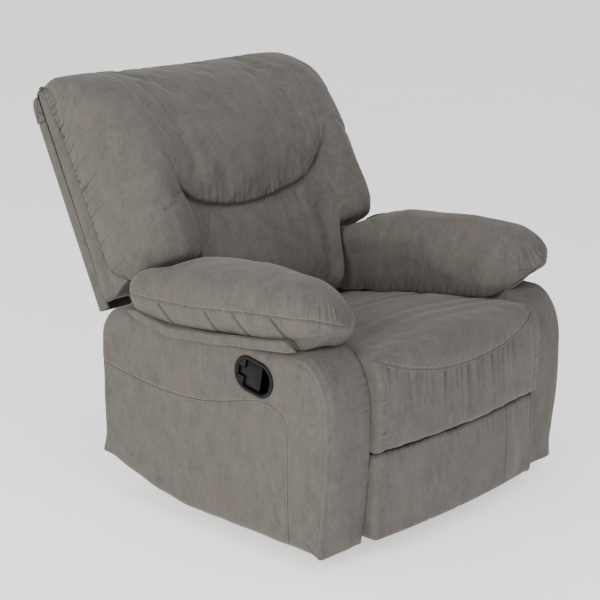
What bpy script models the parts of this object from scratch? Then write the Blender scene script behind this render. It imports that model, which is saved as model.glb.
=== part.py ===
"""Rocker recliner: a chair with pillow arms that rocks on two cams, reclines and opens a footrest.

The chair faces -Y, X runs across it and +Z is up. The origin is on the floor, under the middle of its box.
Lengths are metres, angles are degrees. Left and right are as the occupant sits, so right is at -X.
"""
import bpy
import bmesh
from math import cos, pi, radians, sin, sqrt
from mathutils import Matrix, Vector

# Clearances
TOUCH = 0.0003            # between pieces that rest on each other
RUN = 0.001               # between steel layers that slide past each other
CLOTH_GAP = 0.003         # between neighbouring cushions

# Steel and wood stock
STEEL = 0.004             # thickness of links, plates and brackets
PIN_RADIUS = 0.0045
PIN_HEAD_RADIUS = 0.0075
PIN_HEAD = 0.002
HUB_RADIUS = 0.009        # back hinge pins and the spacers of the footrest links
HUB_SIDES = 24            # enough facets for a hub to turn in its hole
LINK_WIDTH = 0.018
TUBE_RADIUS = 0.0125
TUBE_WALL = 0.002

# Base that stays on the floor
GLIDE_HEIGHT = 0.012
GLIDE_RADIUS = 0.017
GLIDE_FOOT_RADIUS = 0.0145
RAIL_HEIGHT = 0.038
RAIL_WIDTH = 0.040
RAIL_WALL = 0.003
RAIL_INSET = 0.0605       # middle of each base rail inside the arm boxes
BASE_FRONT_Y = -0.290
BASE_REAR_Y = 0.190
CROSS_WIDTH = 0.030
CROSS_HEIGHT = 0.030

# Rocker cams and chassis
ROCK_Y = -0.060
CAM_RADIUS = 0.360
CAM_HALF_ANGLE = 22.0
CAM_THICKNESS = 0.020
CAM_RISE = 0.128          # height of a cam over its contact line
CHASSIS_TUBE_RISE = 0.100
CHASSIS_TUBE_SPREAD = 0.070
SIDE_PLATE_ROUND = 0.018  # corners of the side plates, at the swing pivots
SIDE_PLATE_RIM = 0.008    # plate round each chassis tube
SPRING_RADIUS = 0.017     # rocker spring coil, to the middle of its wire
SPRING_WIRE = 0.0022
SPRING_TURNS = 3
SPRING_SPREAD = 0.045
SPRING_PLATE = 0.003
SPRING_PLATE_WIDTH = 0.048

# Swing links that carry the seat
SWING_Z = 0.205
SWING_FRONT_Y = -0.240
SWING_REAR_Y = 0.060
SWING_LENGTH = 0.120
SWING_LEAN = 12.0         # lean to the rear at rest, and to the front when reclined

# Arms
ARM_WIDTH = 0.137
ARM_CLEARANCE = 0.041     # arm bottom over the floor
ARM_TOP = 0.495
ARM_FRONT_Y = -0.470      # at the floor end of the front
ARM_FRONT_BULGE = 0.022
ARM_BULGE_WAVE = 0.574    # share of a half wave that the bulge runs through
ARM_FRONT_ROUND_Y = 0.086
ARM_FRONT_ROUND_Z = 0.135
ARM_REAR_Y = 0.258
ARM_REAR_ROUND_Y = 0.095
ARM_REAR_ROUND_Z = 0.085
ARM_SWEEP_Y = -0.050      # where the bottom edge starts to rise
ARM_SWEEP_RISE = 0.070
ARM_SWEEP_POWER = 1.6
ARM_WALL = 0.014
ARM_EDGE = 0.020
ARM_PANEL = 0.012
ARM_POST = 0.030
ARM_SHELF_WIDTH = 0.070

# Arm pillows
PILLOW_OVER_SEAT = 0.0575 # how far a pillow hangs over the arm box on the seat side
PILLOW_OVER_SIDE = 0.0175
PILLOW_FRONT_Y = -0.468
PILLOW_REAR_Y = 0.164
PILLOW_RISE = 0.154
PILLOW_FULLEST = 0.40     # share of its rise where a pillow is widest
PILLOW_CROWN = 0.20       # share of its rise that a pillow loses at its sides
PILLOW_DRAW = 0.16        # share of its half width that it is drawn in at top and bottom
PILLOW_NOSE = 0.20        # share of its length that rounds off to the front
PILLOW_NOSE_DRAW = 0.28
PILLOW_NOSE_DROP = 0.16
PILLOW_TUCK = 0.060       # how far the nose is drawn back at its foot
PILLOW_BROW = 0.016       # and at its top
PILLOW_FALL = 0.45        # share of its rise that it loses to its rear end
PILLOW_FALL_FROM = 0.38   # share of its length where it starts to fall
PILLOW_SHOULDER = 0.045   # how far it stands up beside the bolster

# Release cup in the right arm
CUP_Y = -0.272
CUP_Z = 0.422
CUP_TILT = 11.0
CUP_HALF_LENGTH = 0.055
CUP_HALF_HEIGHT = 0.037
CUP_WALL = 0.004
CUP_DEPTH = 0.034
CUP_FLANGE = 0.005
CUP_FLANGE_THICKNESS = 0.003
PADDLE_THICKNESS = 0.004
PADDLE_SINK = 0.002
PADDLE_PIVOT = 0.024      # behind the middle of the cup
PADDLE_FRONT = 0.020      # in front of the middle of the cup
PADDLE_HEEL = 0.0033      # blade behind its pivot
PADDLE_STEM = 0.018
PADDLE_STEM_HALF = 0.010
PADDLE_PIN_RADIUS = 0.0022

# Seat
DECK_RISE = 0.024         # seat rail flange over the swing pivots
DECK_FLANGE = 0.045
SEAT_RAIL_HEIGHT = 0.048
SEAT_RAIL_FRONT_Y = -0.405
SEAT_WOOD = 0.030
SEAT_FRONT_RAIL_Y = -0.440
SEAT_REAR_RAIL_Y = 0.060
SEAT_SPRING_WIRE = 0.0019
SEAT_SPRING_COUNT = 3
SEAT_SPRING_PITCH = 0.150
SEAT_SPRING_WAVES = 8
SEAT_SPRING_SWING = 0.024
SEAT_HALF_WIDTH = 0.3025
SEAT_FRONT_Y = -0.512
SEAT_BULGE = 0.014
SEAT_BULGE_FOOT = 1.6     # the bulge at the apron's foot, over SEAT_BULGE
SEAT_ROLL = 0.010         # extra roundness half way up the front
SEAT_EDGE_DROP = 0.022    # how far the top rolls down to the front edge
SEAT_DRAW = 0.018         # share of its half width that it is drawn in at top and bottom
SEAT_REAR_Y = 0.082
SEAT_FRONT_Z = 0.494
SEAT_REAR_Z = 0.420
SEAT_FALL_POWER = 0.8     # how soon the top falls to the rear
SEAT_CROWN = 0.016
APRON_BOTTOM = 0.262
APRON_THICKNESS = 0.064

# Back, measured along its lean (s, up from the hinge) and square to it (t, to the front)
BACK_HINGE_Y = 0.155
BACK_LEAN = 25.5
BACK_INSET = 0.0525       # sides of the back inside those of the arm boxes
BACK_REAR_T = -0.102
BACK_SHELL_WALL = 0.008
BACK_SHELL_BOTTOM = 0.180
BACK_SHELL_TOP = 0.668
BACK_TAIL_BOTTOM = -0.030
BACK_TAIL_GAP = 0.014
BACK_FRAME_DEPTH = 0.040
BACK_UPRIGHT_WIDTH = 0.030
BACK_UPRIGHT_BOTTOM = 0.030
BACK_TOP_RAIL = 0.070
BACK_LOWER_RAIL_S = 0.090
BACK_LOWER_RAIL = 0.060
BACK_BRACKET_REACH = 0.184
BACK_BRACKET_TIP = 0.0145
BACK_WRAP = 0.070
WRAP_ROUND = 0.55         # share of its depth that the wrap rounds off at the top
WRAP_DRAW = 0.01          # share of its half width that it is drawn in
WRAP_ARCH = 0.5           # its arch over the head pillow's
BACK_EDGE = 0.018
BOLSTER_BOTTOM = 0.214
BOLSTER_TOP = 0.737
BOLSTER_DEPTH = 0.240
SEAM_X = 0.236            # half of the head panel's width
SEAM_FLARE = 0.110
SEAM_FLARE_S = 0.448
SEAM_FLARE_POWER = 1.3
TUCK_S = 0.316
TUCK_RISE = 0.060
HEAD_TOP = 0.755
HEAD_ARCH = 0.018
HEAD_DEPTH = 0.223
BACK_FULL_S = 0.398       # the back is deepest here, and thins out to its top
BACK_FADE = 0.436
BACK_CORNER = 0.012       # how far the outline is drawn in at the top corners
BACK_CORNER_S = 0.120
SIDE_DRAW = 0.006         # cushion sides are drawn in by this at their seams
BOLSTER_SWELL = 0.016
BOLSTER_ROUND = 0.016
BOLSTER_CROWN = 0.12      # share of its depth that a bolster loses at its sides
PANEL_CROWN = 0.06
LUMBAR_BOTTOM = 0.072
LUMBAR_DEPTH = 0.132
LUMBAR_SLOPE = 0.270

# Footrest
FOOT_PIVOT_Y = -0.330
FOOT_PIVOT_Z = 0.310
FOOT_CENTRE_Y = -0.545    # the pad turns about this line
FOOT_CENTRE_Z = 0.410
FOOT_LINK_ANGLE = 38.0    # main link behind straight down, at rest
FOOT_ARM = 0.216
FOOT_TAIL = 0.030
FOOT_CRANK = 0.050
FOOT_TUBE_RADIUS = 0.011
FOOT_BOARD_REAR_Y = -0.430
FOOT_BOARD = 0.015
FOOT_BOARD_SIDE = 0.0125  # pad beyond the board at each side
FOOT_BOARD_INSET = 0.012
FOOT_PAD_BOTTOM = 0.050
FOOT_PAD_GAP = 0.008      # below the apron
FOOT_PAD_FRONT_Y = -0.508
FOOT_PAD_BULGE = 0.022
FOOT_PAD_CROWN = 0.6      # share of the bulge that is lost at top and bottom
FOOT_PAD_DRAW = 0.02      # share of its size that it is drawn in at front and rear
FOOT_FLANGE = 0.036

# Places worked out from the sizes above
ARM_INNER = SEAT_HALF_WIDTH + CLOTH_GAP
ARM_OUTER = ARM_INNER + ARM_WIDTH
PILLOW_INNER = ARM_INNER - PILLOW_OVER_SEAT
PILLOW_OUTER = ARM_OUTER + PILLOW_OVER_SIDE
BACK_HALF_WIDTH = ARM_OUTER - BACK_INSET
RAIL_X = ARM_INNER - RAIL_INSET
FOOT_BOARD_HALF_WIDTH = SEAT_HALF_WIDTH - FOOT_BOARD_SIDE
RAIL_BOTTOM = GLIDE_HEIGHT + TOUCH
RAIL_TOP = RAIL_BOTTOM + RAIL_HEIGHT
CAM_BOTTOM = RAIL_TOP + TOUCH
ROCK_Z = CAM_BOTTOM + CAM_RADIUS
CHASSIS_TUBE_Z = CAM_BOTTOM + CHASSIS_TUBE_RISE
SEAT_PIVOT_Z = SWING_Z + SWING_LENGTH * cos(radians(SWING_LEAN))
SEAT_PIVOT_SHIFT = SWING_LENGTH * sin(radians(SWING_LEAN))
DECK_Z = SEAT_PIVOT_Z + DECK_RISE
SEAT_WOOD_TOP = DECK_Z + TOUCH + SEAT_WOOD
CUSHION_BOTTOM = SEAT_WOOD_TOP + 2 * TOUCH + 2 * SEAT_SPRING_WIRE
BACK_HINGE = Vector((0, BACK_HINGE_Y, SEAT_PIVOT_Z))
BACK_UP = Vector((0, sin(radians(BACK_LEAN)), cos(radians(BACK_LEAN))))
BACK_OUT = Vector((0, -cos(radians(BACK_LEAN)), sin(radians(BACK_LEAN))))
FRAME_REAR_T = BACK_REAR_T + BACK_SHELL_WALL + TOUCH
FRAME_FRONT_T = FRAME_REAR_T + BACK_FRAME_DEPTH
CUSHION_BASE_T = FRAME_FRONT_T + TOUCH
FOOT_PAD_TOP = APRON_BOTTOM - FOOT_PAD_GAP
FOOT_REACH = Vector((FOOT_CENTRE_Y - FOOT_PIVOT_Y, FOOT_CENTRE_Z - FOOT_PIVOT_Z))


def layer(number):
    """X of the outer and the inner face of a steel layer, counted inwards from the arm."""
    outer = ARM_INNER - TOUCH - number * (STEEL + RUN)
    return outer, outer - STEEL


PLATE_LAYER, SWING_LAYER, SEAT_LAYER, GUIDE_LAYER, CROSS_LAYER, MAIN_LAYER, END_LAYER = range(7)


# Scene, materials and small building blocks

def clear_scene():
    for item in list(bpy.data.objects):
        bpy.data.objects.remove(item, do_unlink=True)


def new_collection(name):
    made = bpy.data.collections.new(name)
    bpy.context.scene.collection.children.link(made)
    return made


clear_scene()
parts = new_collection("rocker_recliner")
cutters = new_collection("cutters")


def material(name, colour, roughness, metallic=0.0):
    made = bpy.data.materials.new(name)
    made.use_nodes = True
    shader = made.node_tree.nodes["Principled BSDF"]
    shader.inputs["Base Color"].default_value = (*colour, 1.0)
    shader.inputs["Roughness"].default_value = roughness
    shader.inputs["Metallic"].default_value = metallic
    return made


SUEDE = material("grey_suede", (0.165, 0.152, 0.138), 0.95)
STEEL_PAINT = material("black_steel", (0.020, 0.020, 0.021), 0.45, 0.6)
ZINC = material("zinc_steel", (0.42, 0.43, 0.44), 0.38, 1.0)
WOOD = material("plywood", (0.48, 0.33, 0.19), 0.7)
PLASTIC = material("black_plastic", (0.012, 0.012, 0.011), 0.35)
GLIDE = material("glide_plastic", (0.030, 0.030, 0.030), 0.55)


def add_part(name, mesh, look, parent):
    item = bpy.data.objects.new(name, mesh)
    mesh.materials.clear()
    mesh.materials.append(look)
    parts.objects.link(item)
    item.parent = parent
    if "own_frame" not in parent:
        item.matrix_parent_inverse = parent.matrix_world.inverted()
    return item


def add_helper(mesh, near):
    """Keep a cutter or a piece to be joined beside the part that uses it."""
    item = bpy.data.objects.new("helper_" + near.name, mesh)
    cutters.objects.link(item)
    item.parent = near.parent
    item.matrix_parent_inverse = near.matrix_parent_inverse.copy()
    item.hide_render = True
    item.display_type = 'WIRE'
    return item


def combine(item, mesh, operation):
    step = item.modifiers.new(operation.lower(), 'BOOLEAN')
    step.operation = operation
    step.object = add_helper(mesh, item)


def axis_empty(name, place, parent=None, turn_x=0.0, own_frame=False):
    item = bpy.data.objects.new(name, None)
    parts.objects.link(item)
    item.location = place
    item.rotation_euler = (turn_x, 0, 0)
    if parent is not None:
        item.parent = parent
        item.matrix_parent_inverse = parent.matrix_world.inverted()
    if own_frame:
        item["own_frame"] = True
    bpy.context.view_layer.update()
    return item


def to_mesh(bm, name):
    bmesh.ops.recalc_face_normals(bm, faces=bm.faces)
    if bm.calc_volume(signed=True) < 0:
        bmesh.ops.reverse_faces(bm, faces=bm.faces)
    mesh = bpy.data.meshes.new(name)
    bm.to_mesh(mesh)
    bm.free()
    return mesh


def box_into(bm, low, high):
    low, high = Vector(low), Vector(high)
    low, high = Vector(map(min, low, high)), Vector(map(max, low, high))
    size = Matrix.Diagonal((*(high - low), 1.0))
    bmesh.ops.create_cube(bm, size=1.0, matrix=Matrix.Translation((low + high) / 2) @ size)


def boxes(name, *corners):
    bm = bmesh.new()
    for low, high in corners:
        box_into(bm, low, high)
    return to_mesh(bm, name)


def rods(name, *specs, sides=12):
    """Round rods along X: (y, z, radius, x from, x to)."""
    bm = bmesh.new()
    along_x = Matrix.Rotation(pi / 2, 4, 'Y')
    for y, z, radius, start, end in specs:
        place = Matrix.Translation(((start + end) / 2, y, z)) @ along_x
        bmesh.ops.create_cone(bm, cap_ends=True, segments=sides, radius1=radius, radius2=radius,
                              depth=abs(end - start), matrix=place)
    return to_mesh(bm, name)


def curve_mesh(name, curve):
    """Turn a curve into a closed mesh with its caps welded."""
    guide = bpy.data.objects.new(name, curve)
    cutters.objects.link(guide)
    seen = guide.evaluated_get(bpy.context.evaluated_depsgraph_get())
    mesh = bpy.data.meshes.new_from_object(seen)
    bpy.data.objects.remove(guide, do_unlink=True)
    bm = bmesh.new()
    bm.from_mesh(mesh)
    bmesh.ops.remove_doubles(bm, verts=bm.verts, dist=0.00001)
    bmesh.ops.dissolve_limit(bm, angle_limit=radians(0.05), verts=bm.verts, edges=bm.edges)
    bpy.data.meshes.remove(mesh)
    return to_mesh(bm, name)


def prism(name, outline, start, end):
    """A flat (y, z) outline with thickness along X."""
    curve = bpy.data.curves.new(name, 'CURVE')
    curve.dimensions = '2D'
    curve.fill_mode = 'BOTH'
    curve.extrude = abs(end - start) / 2
    spline = curve.splines.new('POLY')
    spline.points.add(len(outline) - 1)
    for point, (y, z) in zip(spline.points, outline):
        point.co = (y, z, 0, 1)
    spline.use_cyclic_u = True
    mesh = curve_mesh(name, curve)
    axes = Matrix(((0, 0, 1, (start + end) / 2), (1, 0, 0, 0), (0, 1, 0, 0), (0, 0, 0, 1)))
    mesh.transform(axes)
    return mesh


def wire(name, points, radius, sides):
    curve = bpy.data.curves.new(name, 'CURVE')
    curve.dimensions = '3D'
    curve.bevel_depth = radius
    curve.bevel_resolution = (sides - 4) // 2
    curve.use_fill_caps = True
    spline = curve.splines.new('POLY')
    spline.points.add(len(points) - 1)
    for point, place in zip(spline.points, points):
        point.co = (*place, 1)
    return curve_mesh(name, curve)


def hull(circles, sides=16):
    """Outline of the tight band round some (y, z, radius) circles."""
    cloud = sorted({(y + r * cos(2 * pi * k / sides), z + r * sin(2 * pi * k / sides))
                    for y, z, r in circles for k in range(sides)})

    def half(points):
        chain = []
        for p in points:
            while len(chain) > 1:
                (ay, az), (by, bz) = chain[-2], chain[-1]
                if (by - ay) * (p[1] - az) - (bz - az) * (p[0] - ay) > 1e-9:
                    break
                chain.pop()
            chain.append(p)
        return chain[:-1]

    return half(cloud) + half(cloud[::-1])


def smooth(item, angle=40.0):
    item.data.shade_smooth()
    item.data.set_sharp_from_angle(angle=radians(angle))
    return item


def steel_part(name, side, circles, number, parent, holes=(), studs=(), extra=None):
    """A steel plate in one layer, with holes (y, z) and fused studs (y, z, radius, x from, x to)."""
    outer, inner = layer(number)
    item = add_part(name, prism(name, hull(circles), side * outer, side * inner), ZINC, parent)
    if extra is not None:
        combine(item, extra, 'UNION')
    for y, z, radius, start, end in studs:
        combine(item, rods(name, (y, z, radius, side * start, side * end)), 'UNION')
    if holes:
        bore = PIN_RADIUS + TOUCH
        ends = side * (outer + RUN), side * (inner - RUN)
        combine(item, rods(name, *[(y, z, bore, *ends) for y, z in holes]),
                'DIFFERENCE')
    return item


SIDES = (("left", 1), ("right", -1))


# Base

def build_base(root):
    base = boxes("base_frame", ((RAIL_X - RAIL_WIDTH / 2, BASE_FRONT_Y, RAIL_BOTTOM),
                                (RAIL_X + RAIL_WIDTH / 2, BASE_REAR_Y, RAIL_TOP)))
    frame = add_part("base_frame", base, STEEL_PAINT, root)
    combine(frame, boxes("rail", ((-RAIL_X - RAIL_WIDTH / 2, BASE_FRONT_Y, RAIL_BOTTOM),
                                  (-RAIL_X + RAIL_WIDTH / 2, BASE_REAR_Y, RAIL_TOP))), 'UNION')
    low = RAIL_BOTTOM + (RAIL_HEIGHT - CROSS_HEIGHT) / 2
    reach = RAIL_X - RAIL_WIDTH / 2 + RAIL_WALL / 2
    inset = CROSS_WIDTH / 2
    for y in (BASE_FRONT_Y + inset, BASE_REAR_Y - inset - CROSS_WIDTH):
        combine(frame, boxes("cross", ((-reach, y, low), (reach, y + CROSS_WIDTH, low + CROSS_HEIGHT))),
                'UNION')
    bores = [((s * RAIL_X - RAIL_WIDTH / 2 + RAIL_WALL, BASE_FRONT_Y - RUN, RAIL_BOTTOM + RAIL_WALL),
              (s * RAIL_X + RAIL_WIDTH / 2 - RAIL_WALL, BASE_REAR_Y + RUN, RAIL_TOP - RAIL_WALL))
             for s in (1, -1)]
    combine(frame, boxes("bores", *bores), 'DIFFERENCE')
    for end, y in (("front", BASE_FRONT_Y + CROSS_WIDTH), ("rear", BASE_REAR_Y - CROSS_WIDTH)):
        for hand, side in SIDES:
            bm = bmesh.new()
            bmesh.ops.create_cone(bm, cap_ends=True, segments=20, radius1=GLIDE_FOOT_RADIUS,
                                  radius2=GLIDE_RADIUS, depth=GLIDE_HEIGHT,
                                  matrix=Matrix.Translation((side * RAIL_X, y, GLIDE_HEIGHT / 2)))
            smooth(add_part("floor_glide_%s_%s" % (end, hand), to_mesh(bm, "floor_glide"), GLIDE, root))


def coil_points(x, y, low, high, radius, turns, per_turn=9):
    count = turns * per_turn
    turn = 2 * pi / per_turn
    return [(x + radius * cos(turn * k), y + radius * sin(turn * k), low + (high - low) * k / count)
            for k in range(count + 1)]


def least_self_gap(points, wire_radius, per_turn):
    apart = [(Vector(a) - Vector(b)).length for i, a in enumerate(points) for b in points[i + per_turn // 2:]]
    return min(apart) - 2 * wire_radius


def build_rocker_spring(hand, side, root):
    low = RAIL_BOTTOM + RAIL_HEIGHT / 2
    high = CHASSIS_TUBE_Z - TUBE_RADIUS - TOUCH
    outer = RAIL_X - RAIL_WIDTH / 2 - TOUCH
    inner = outer - SPRING_PLATE_WIDTH
    half = CHASSIS_TUBE_SPREAD + TUBE_RADIUS
    name = "rocker_spring_" + hand
    plates = boxes(name, ((side * inner, ROCK_Y - half, low),
                          (side * outer, ROCK_Y + half, low + SPRING_PLATE)))
    pack = add_part(name, plates, ZINC, root)
    combine(pack, boxes(name, ((side * inner, ROCK_Y - half, high - SPRING_PLATE),
                               (side * outer, ROCK_Y + half, high))), 'UNION')
    middle = side * (inner + outer) / 2
    sunk = SPRING_PLATE / 2
    for y in (ROCK_Y - SPRING_SPREAD, ROCK_Y + SPRING_SPREAD):
        route = coil_points(middle, y, low + sunk, high - sunk, SPRING_RADIUS, SPRING_TURNS)
        combine(pack, wire(name, route, SPRING_WIRE, 6), 'UNION')
    print(name, "least gap between turns %.4f m" % least_self_gap(route, SPRING_WIRE, 9))


# Rocking chassis

def cam_outline():
    reach = radians(CAM_HALF_ANGLE)
    steps = 14
    arc = [(ROCK_Y + CAM_RADIUS * sin(a), ROCK_Z - CAM_RADIUS * cos(a))
           for a in (reach * (2 * k / steps - 1) for k in range(steps + 1))]
    half = CHASSIS_TUBE_SPREAD + 2 * TUBE_RADIUS
    top = CAM_BOTTOM + CAM_RISE
    return arc + [(ROCK_Y + half, top), (ROCK_Y - half, top)]


def chassis_tubes():
    return (("front", ROCK_Y - CHASSIS_TUBE_SPREAD), ("rear", ROCK_Y + CHASSIS_TUBE_SPREAD))


def build_chassis(chassis):
    plate_inner = layer(PLATE_LAYER)[1]
    half_length = plate_inner - TOUCH
    for end, y in chassis_tubes():
        tube = add_part("chassis_tube_" + end, rods("tube", (y, CHASSIS_TUBE_Z, TUBE_RADIUS, -half_length,
                                                             half_length), sides=16), STEEL_PAINT, chassis)
        combine(tube, rods("bore", (y, CHASSIS_TUBE_Z, TUBE_RADIUS - TUBE_WALL, -half_length - RUN,
                                    half_length + RUN), sides=16), 'DIFFERENCE')
        smooth(tube)
    for hand, side in SIDES:
        inner, outer = RAIL_X - CAM_THICKNESS / 2, RAIL_X + CAM_THICKNESS / 2
        cam = add_part("rocker_cam_" + hand, prism("cam", cam_outline(), side * inner, side * outer),
                       WOOD, chassis)
        seats = [(y, CHASSIS_TUBE_Z, TUBE_RADIUS + TOUCH, side * (inner - RUN), side * (outer + RUN))
                 for end, y in chassis_tubes()]
        combine(cam, rods("seat", *seats, sides=16), 'DIFFERENCE')
        corners = [(y, SWING_Z, SIDE_PLATE_ROUND) for y in (SWING_FRONT_Y, SWING_REAR_Y)]
        corners += [(y, CHASSIS_TUBE_Z, TUBE_RADIUS + SIDE_PLATE_RIM) for end, y in chassis_tubes()]
        swing_inner = layer(SWING_LAYER)[1]
        studs = []
        for y in (SWING_FRONT_Y, SWING_REAR_Y):
            head = swing_inner - RUN / 2
            studs.append((y, SWING_Z, PIN_RADIUS, plate_inner + STEEL / 2, head - PIN_HEAD / 2))
            studs.append((y, SWING_Z, PIN_HEAD_RADIUS, head, head - PIN_HEAD))
        steel_part("side_plate_" + hand, side, corners, PLATE_LAYER, chassis, studs=studs)


def arm_outline(inset):
    """Side outline of an arm box, or of the same drawn in by a wall."""
    low = ARM_CLEARANCE + inset
    top = ARM_TOP - inset
    rear = ARM_REAR_Y - inset
    bulge_top = ARM_TOP - ARM_FRONT_ROUND_Z
    span = bulge_top - ARM_CLEARANCE

    def front(z):
        lift = sin(ARM_BULGE_WAVE * pi * (z - ARM_CLEARANCE) / span)
        return ARM_FRONT_Y - ARM_FRONT_BULGE * lift + inset

    def sweep(y):
        share = max(0.0, (y - ARM_SWEEP_Y) / (ARM_REAR_Y - ARM_SWEEP_Y))
        return low + ARM_SWEEP_RISE * share ** ARM_SWEEP_POWER

    steps = 6
    points = [(front(low), low)]
    places = [ARM_SWEEP_Y + (rear - ARM_SWEEP_Y) * k / steps for k in range(steps + 1)]
    points += [(y, sweep(y)) for y in places]
    rear_y, rear_z = ARM_REAR_ROUND_Y - inset, ARM_REAR_ROUND_Z - inset
    points += [(rear - rear_y * (1 - cos(pi / 2 * k / steps)), top - rear_z * (1 - sin(pi / 2 * k / steps)))
               for k in range(steps + 1)]
    tip = front(bulge_top)
    front_y, front_z = ARM_FRONT_ROUND_Y - inset, ARM_FRONT_ROUND_Z - inset
    points += [(tip + front_y * (1 - sin(pi / 2 * k / steps)), top - front_z * (1 - cos(pi / 2 * k / steps)))
               for k in range(steps + 1)]
    points += [(front(z), z) for z in (bulge_top - span * k / 4 for k in range(1, 4))]
    return points


def cup_outline(grow, steps=28):
    """Racetrack oval round the cup's middle, as tilted (y, z) points."""
    half = CUP_HALF_HEIGHT + grow
    straight = CUP_HALF_LENGTH - CUP_HALF_HEIGHT
    points = []
    for k in range(steps):
        angle = 2 * pi * (k + 0.5) / steps
        along = half * cos(angle) + (straight if cos(angle) > 0 else -straight)
        points.append(cup_point(along, half * sin(angle)))
    return points


def cup_point(along, across):
    tilt = radians(CUP_TILT)
    return (CUP_Y + along * cos(tilt) - across * sin(tilt), CUP_Z + along * sin(tilt) + across * cos(tilt))


def build_arm(hand, side, chassis):
    cover = add_part("arm_cover_" + hand, prism("arm", arm_outline(0.0), side * ARM_INNER, side * ARM_OUTER),
                     SUEDE, chassis)
    soft = cover.modifiers.new("edge", 'BEVEL')
    soft.width = ARM_EDGE
    soft.segments = 2
    soft.limit_method = 'WEIGHT'
    weights = cover.data.attributes.new("bevel_weight_edge", 'FLOAT', 'EDGE')
    for edge in cover.data.edges:
        ends = [cover.data.vertices[k].co for k in edge.vertices]
        weights.data[edge.index].value = float(all(abs(abs(p.x) - ARM_OUTER) < TOUCH for p in ends))
    hollow = prism("hollow", arm_outline(ARM_WALL), side * (ARM_INNER - RUN), side * (ARM_OUTER - ARM_WALL))
    combine(cover, hollow, 'DIFFERENCE')
    if hand == "right":
        window = prism("window", cup_outline(TOUCH), side * (ARM_OUTER - 2 * ARM_WALL),
                       side * (ARM_OUTER + RUN))
        combine(cover, window, 'DIFFERENCE')
    inner = ARM_INNER
    fit = ARM_WALL + TOUCH
    panel = prism("panel", arm_outline(fit), side * inner, side * (inner + ARM_PANEL))
    frame = add_part("arm_frame_" + hand, panel, WOOD, chassis)
    near, far = side * (inner + ARM_PANEL / 2), side * (ARM_OUTER - fit)
    low = ARM_CLEARANCE + fit + ARM_SWEEP_RISE
    high = ARM_TOP - ARM_REAR_ROUND_Z
    front = ARM_FRONT_Y + fit
    rear = ARM_REAR_Y - fit
    front_post = ((near, front, low - ARM_SWEEP_RISE), (far, front + ARM_POST, ARM_TOP - ARM_FRONT_ROUND_Z))
    rear_post = ((near, rear - ARM_POST, low), (far, rear, high))
    combine(frame, boxes("posts", front_post, rear_post), 'UNION')
    shelf = ((near, front + ARM_FRONT_ROUND_Y, ARM_TOP - fit - ARM_POST / 2),
             (side * (inner + ARM_SHELF_WIDTH), rear - ARM_REAR_ROUND_Y, ARM_TOP - fit))
    combine(frame, boxes("shelf", shelf), 'UNION')
    build_pillow(hand, side, chassis)


# Cushions start as a box with cuts, are shaped by a function and rounded by subdivision

def cushion(name, low, high, cuts, shape, base_axis, base_value, look, parent):
    bm = bmesh.new()
    box_into(bm, low, high)
    for axis, places in enumerate(cuts):
        normal = Vector((0, 0, 0))
        normal[axis] = 1.0
        for place in places:
            everything = list(bm.verts) + list(bm.edges) + list(bm.faces)
            bmesh.ops.bisect_plane(bm, geom=everything, dist=1e-6, plane_co=normal * place, plane_no=normal)
    crease = bm.edges.layers.float.new("crease_edge")
    for edge in bm.edges:
        if all(abs(v.co[base_axis] - base_value) < 1e-5 for v in edge.verts):
            edge[crease] = 1.0
    moved = [(v, Vector(shape(*v.co))) for v in bm.verts]
    for vertex, place in moved:
        vertex.co = place
    item = add_part(name, to_mesh(bm, name), look, parent)
    item.data.shade_smooth()
    round_off = item.modifiers.new("round", 'SUBSURF')
    round_off.levels = 1
    round_off.render_levels = 1
    return item


def spread(low, high, count):
    return [low + (high - low) * k / count for k in range(1, count)]


def bolster_plane_z(y):
    """Height of the plane under the bolsters' lower ends, less the gap to the arm pillows."""
    start = BACK_HINGE + BACK_UP * (BOLSTER_BOTTOM - 2 * CLOTH_GAP)
    return start.z + (start.y - y) * BACK_OUT.z / -BACK_OUT.y


def build_pillow(hand, side, chassis):
    base = ARM_TOP + TOUCH
    middle = (PILLOW_INNER + PILLOW_OUTER) / 2
    half = (PILLOW_OUTER - PILLOW_INNER) / 2
    length = PILLOW_REAR_Y - PILLOW_FRONT_Y

    def shape(x, y, z):
        share = (z - base) / PILLOW_RISE
        across = (x - side * middle) / half
        along = (y - PILLOW_FRONT_Y) / length
        nose = max(0.0, min(1.0, along / PILLOW_NOSE))
        draw = 1.0 - PILLOW_DRAW * (2 * (share - PILLOW_FULLEST)) ** 2 - PILLOW_NOSE_DRAW * (1 - nose) ** 2
        fall = max(0.0, (along - PILLOW_FALL_FROM) / (1 - PILLOW_FALL_FROM)) ** 1.5
        rise = PILLOW_RISE * (1 - PILLOW_NOSE_DROP * (1 - sqrt(nose))) * (1 - PILLOW_FALL * fall)
        dome = rise * (1.0 - PILLOW_CROWN * across ** 2)
        beside = max(0.0, min(1.0, (abs(x) - BACK_HALF_WIDTH) / (PILLOW_OUTER - BACK_HALF_WIDTH)))
        height = share * min(dome, bolster_plane_z(y) + PILLOW_SHOULDER * beside - base)
        back_off = (1 - nose) * (PILLOW_TUCK * (1 - share) ** 2 + PILLOW_BROW * share ** 3)
        return (side * middle + across * half * draw, y + back_off, base + height)

    cuts = (spread(side * PILLOW_INNER, side * PILLOW_OUTER, 4), spread(PILLOW_FRONT_Y, PILLOW_REAR_Y, 8),
            (base + PILLOW_RISE * 0.3, base + PILLOW_RISE * 0.68))
    cushion("arm_pillow_" + hand, (side * PILLOW_INNER, PILLOW_FRONT_Y, base),
            (side * PILLOW_OUTER, PILLOW_REAR_Y, base + PILLOW_RISE), cuts, shape, 2, base, SUEDE, chassis)


# Release cup and paddle

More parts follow.
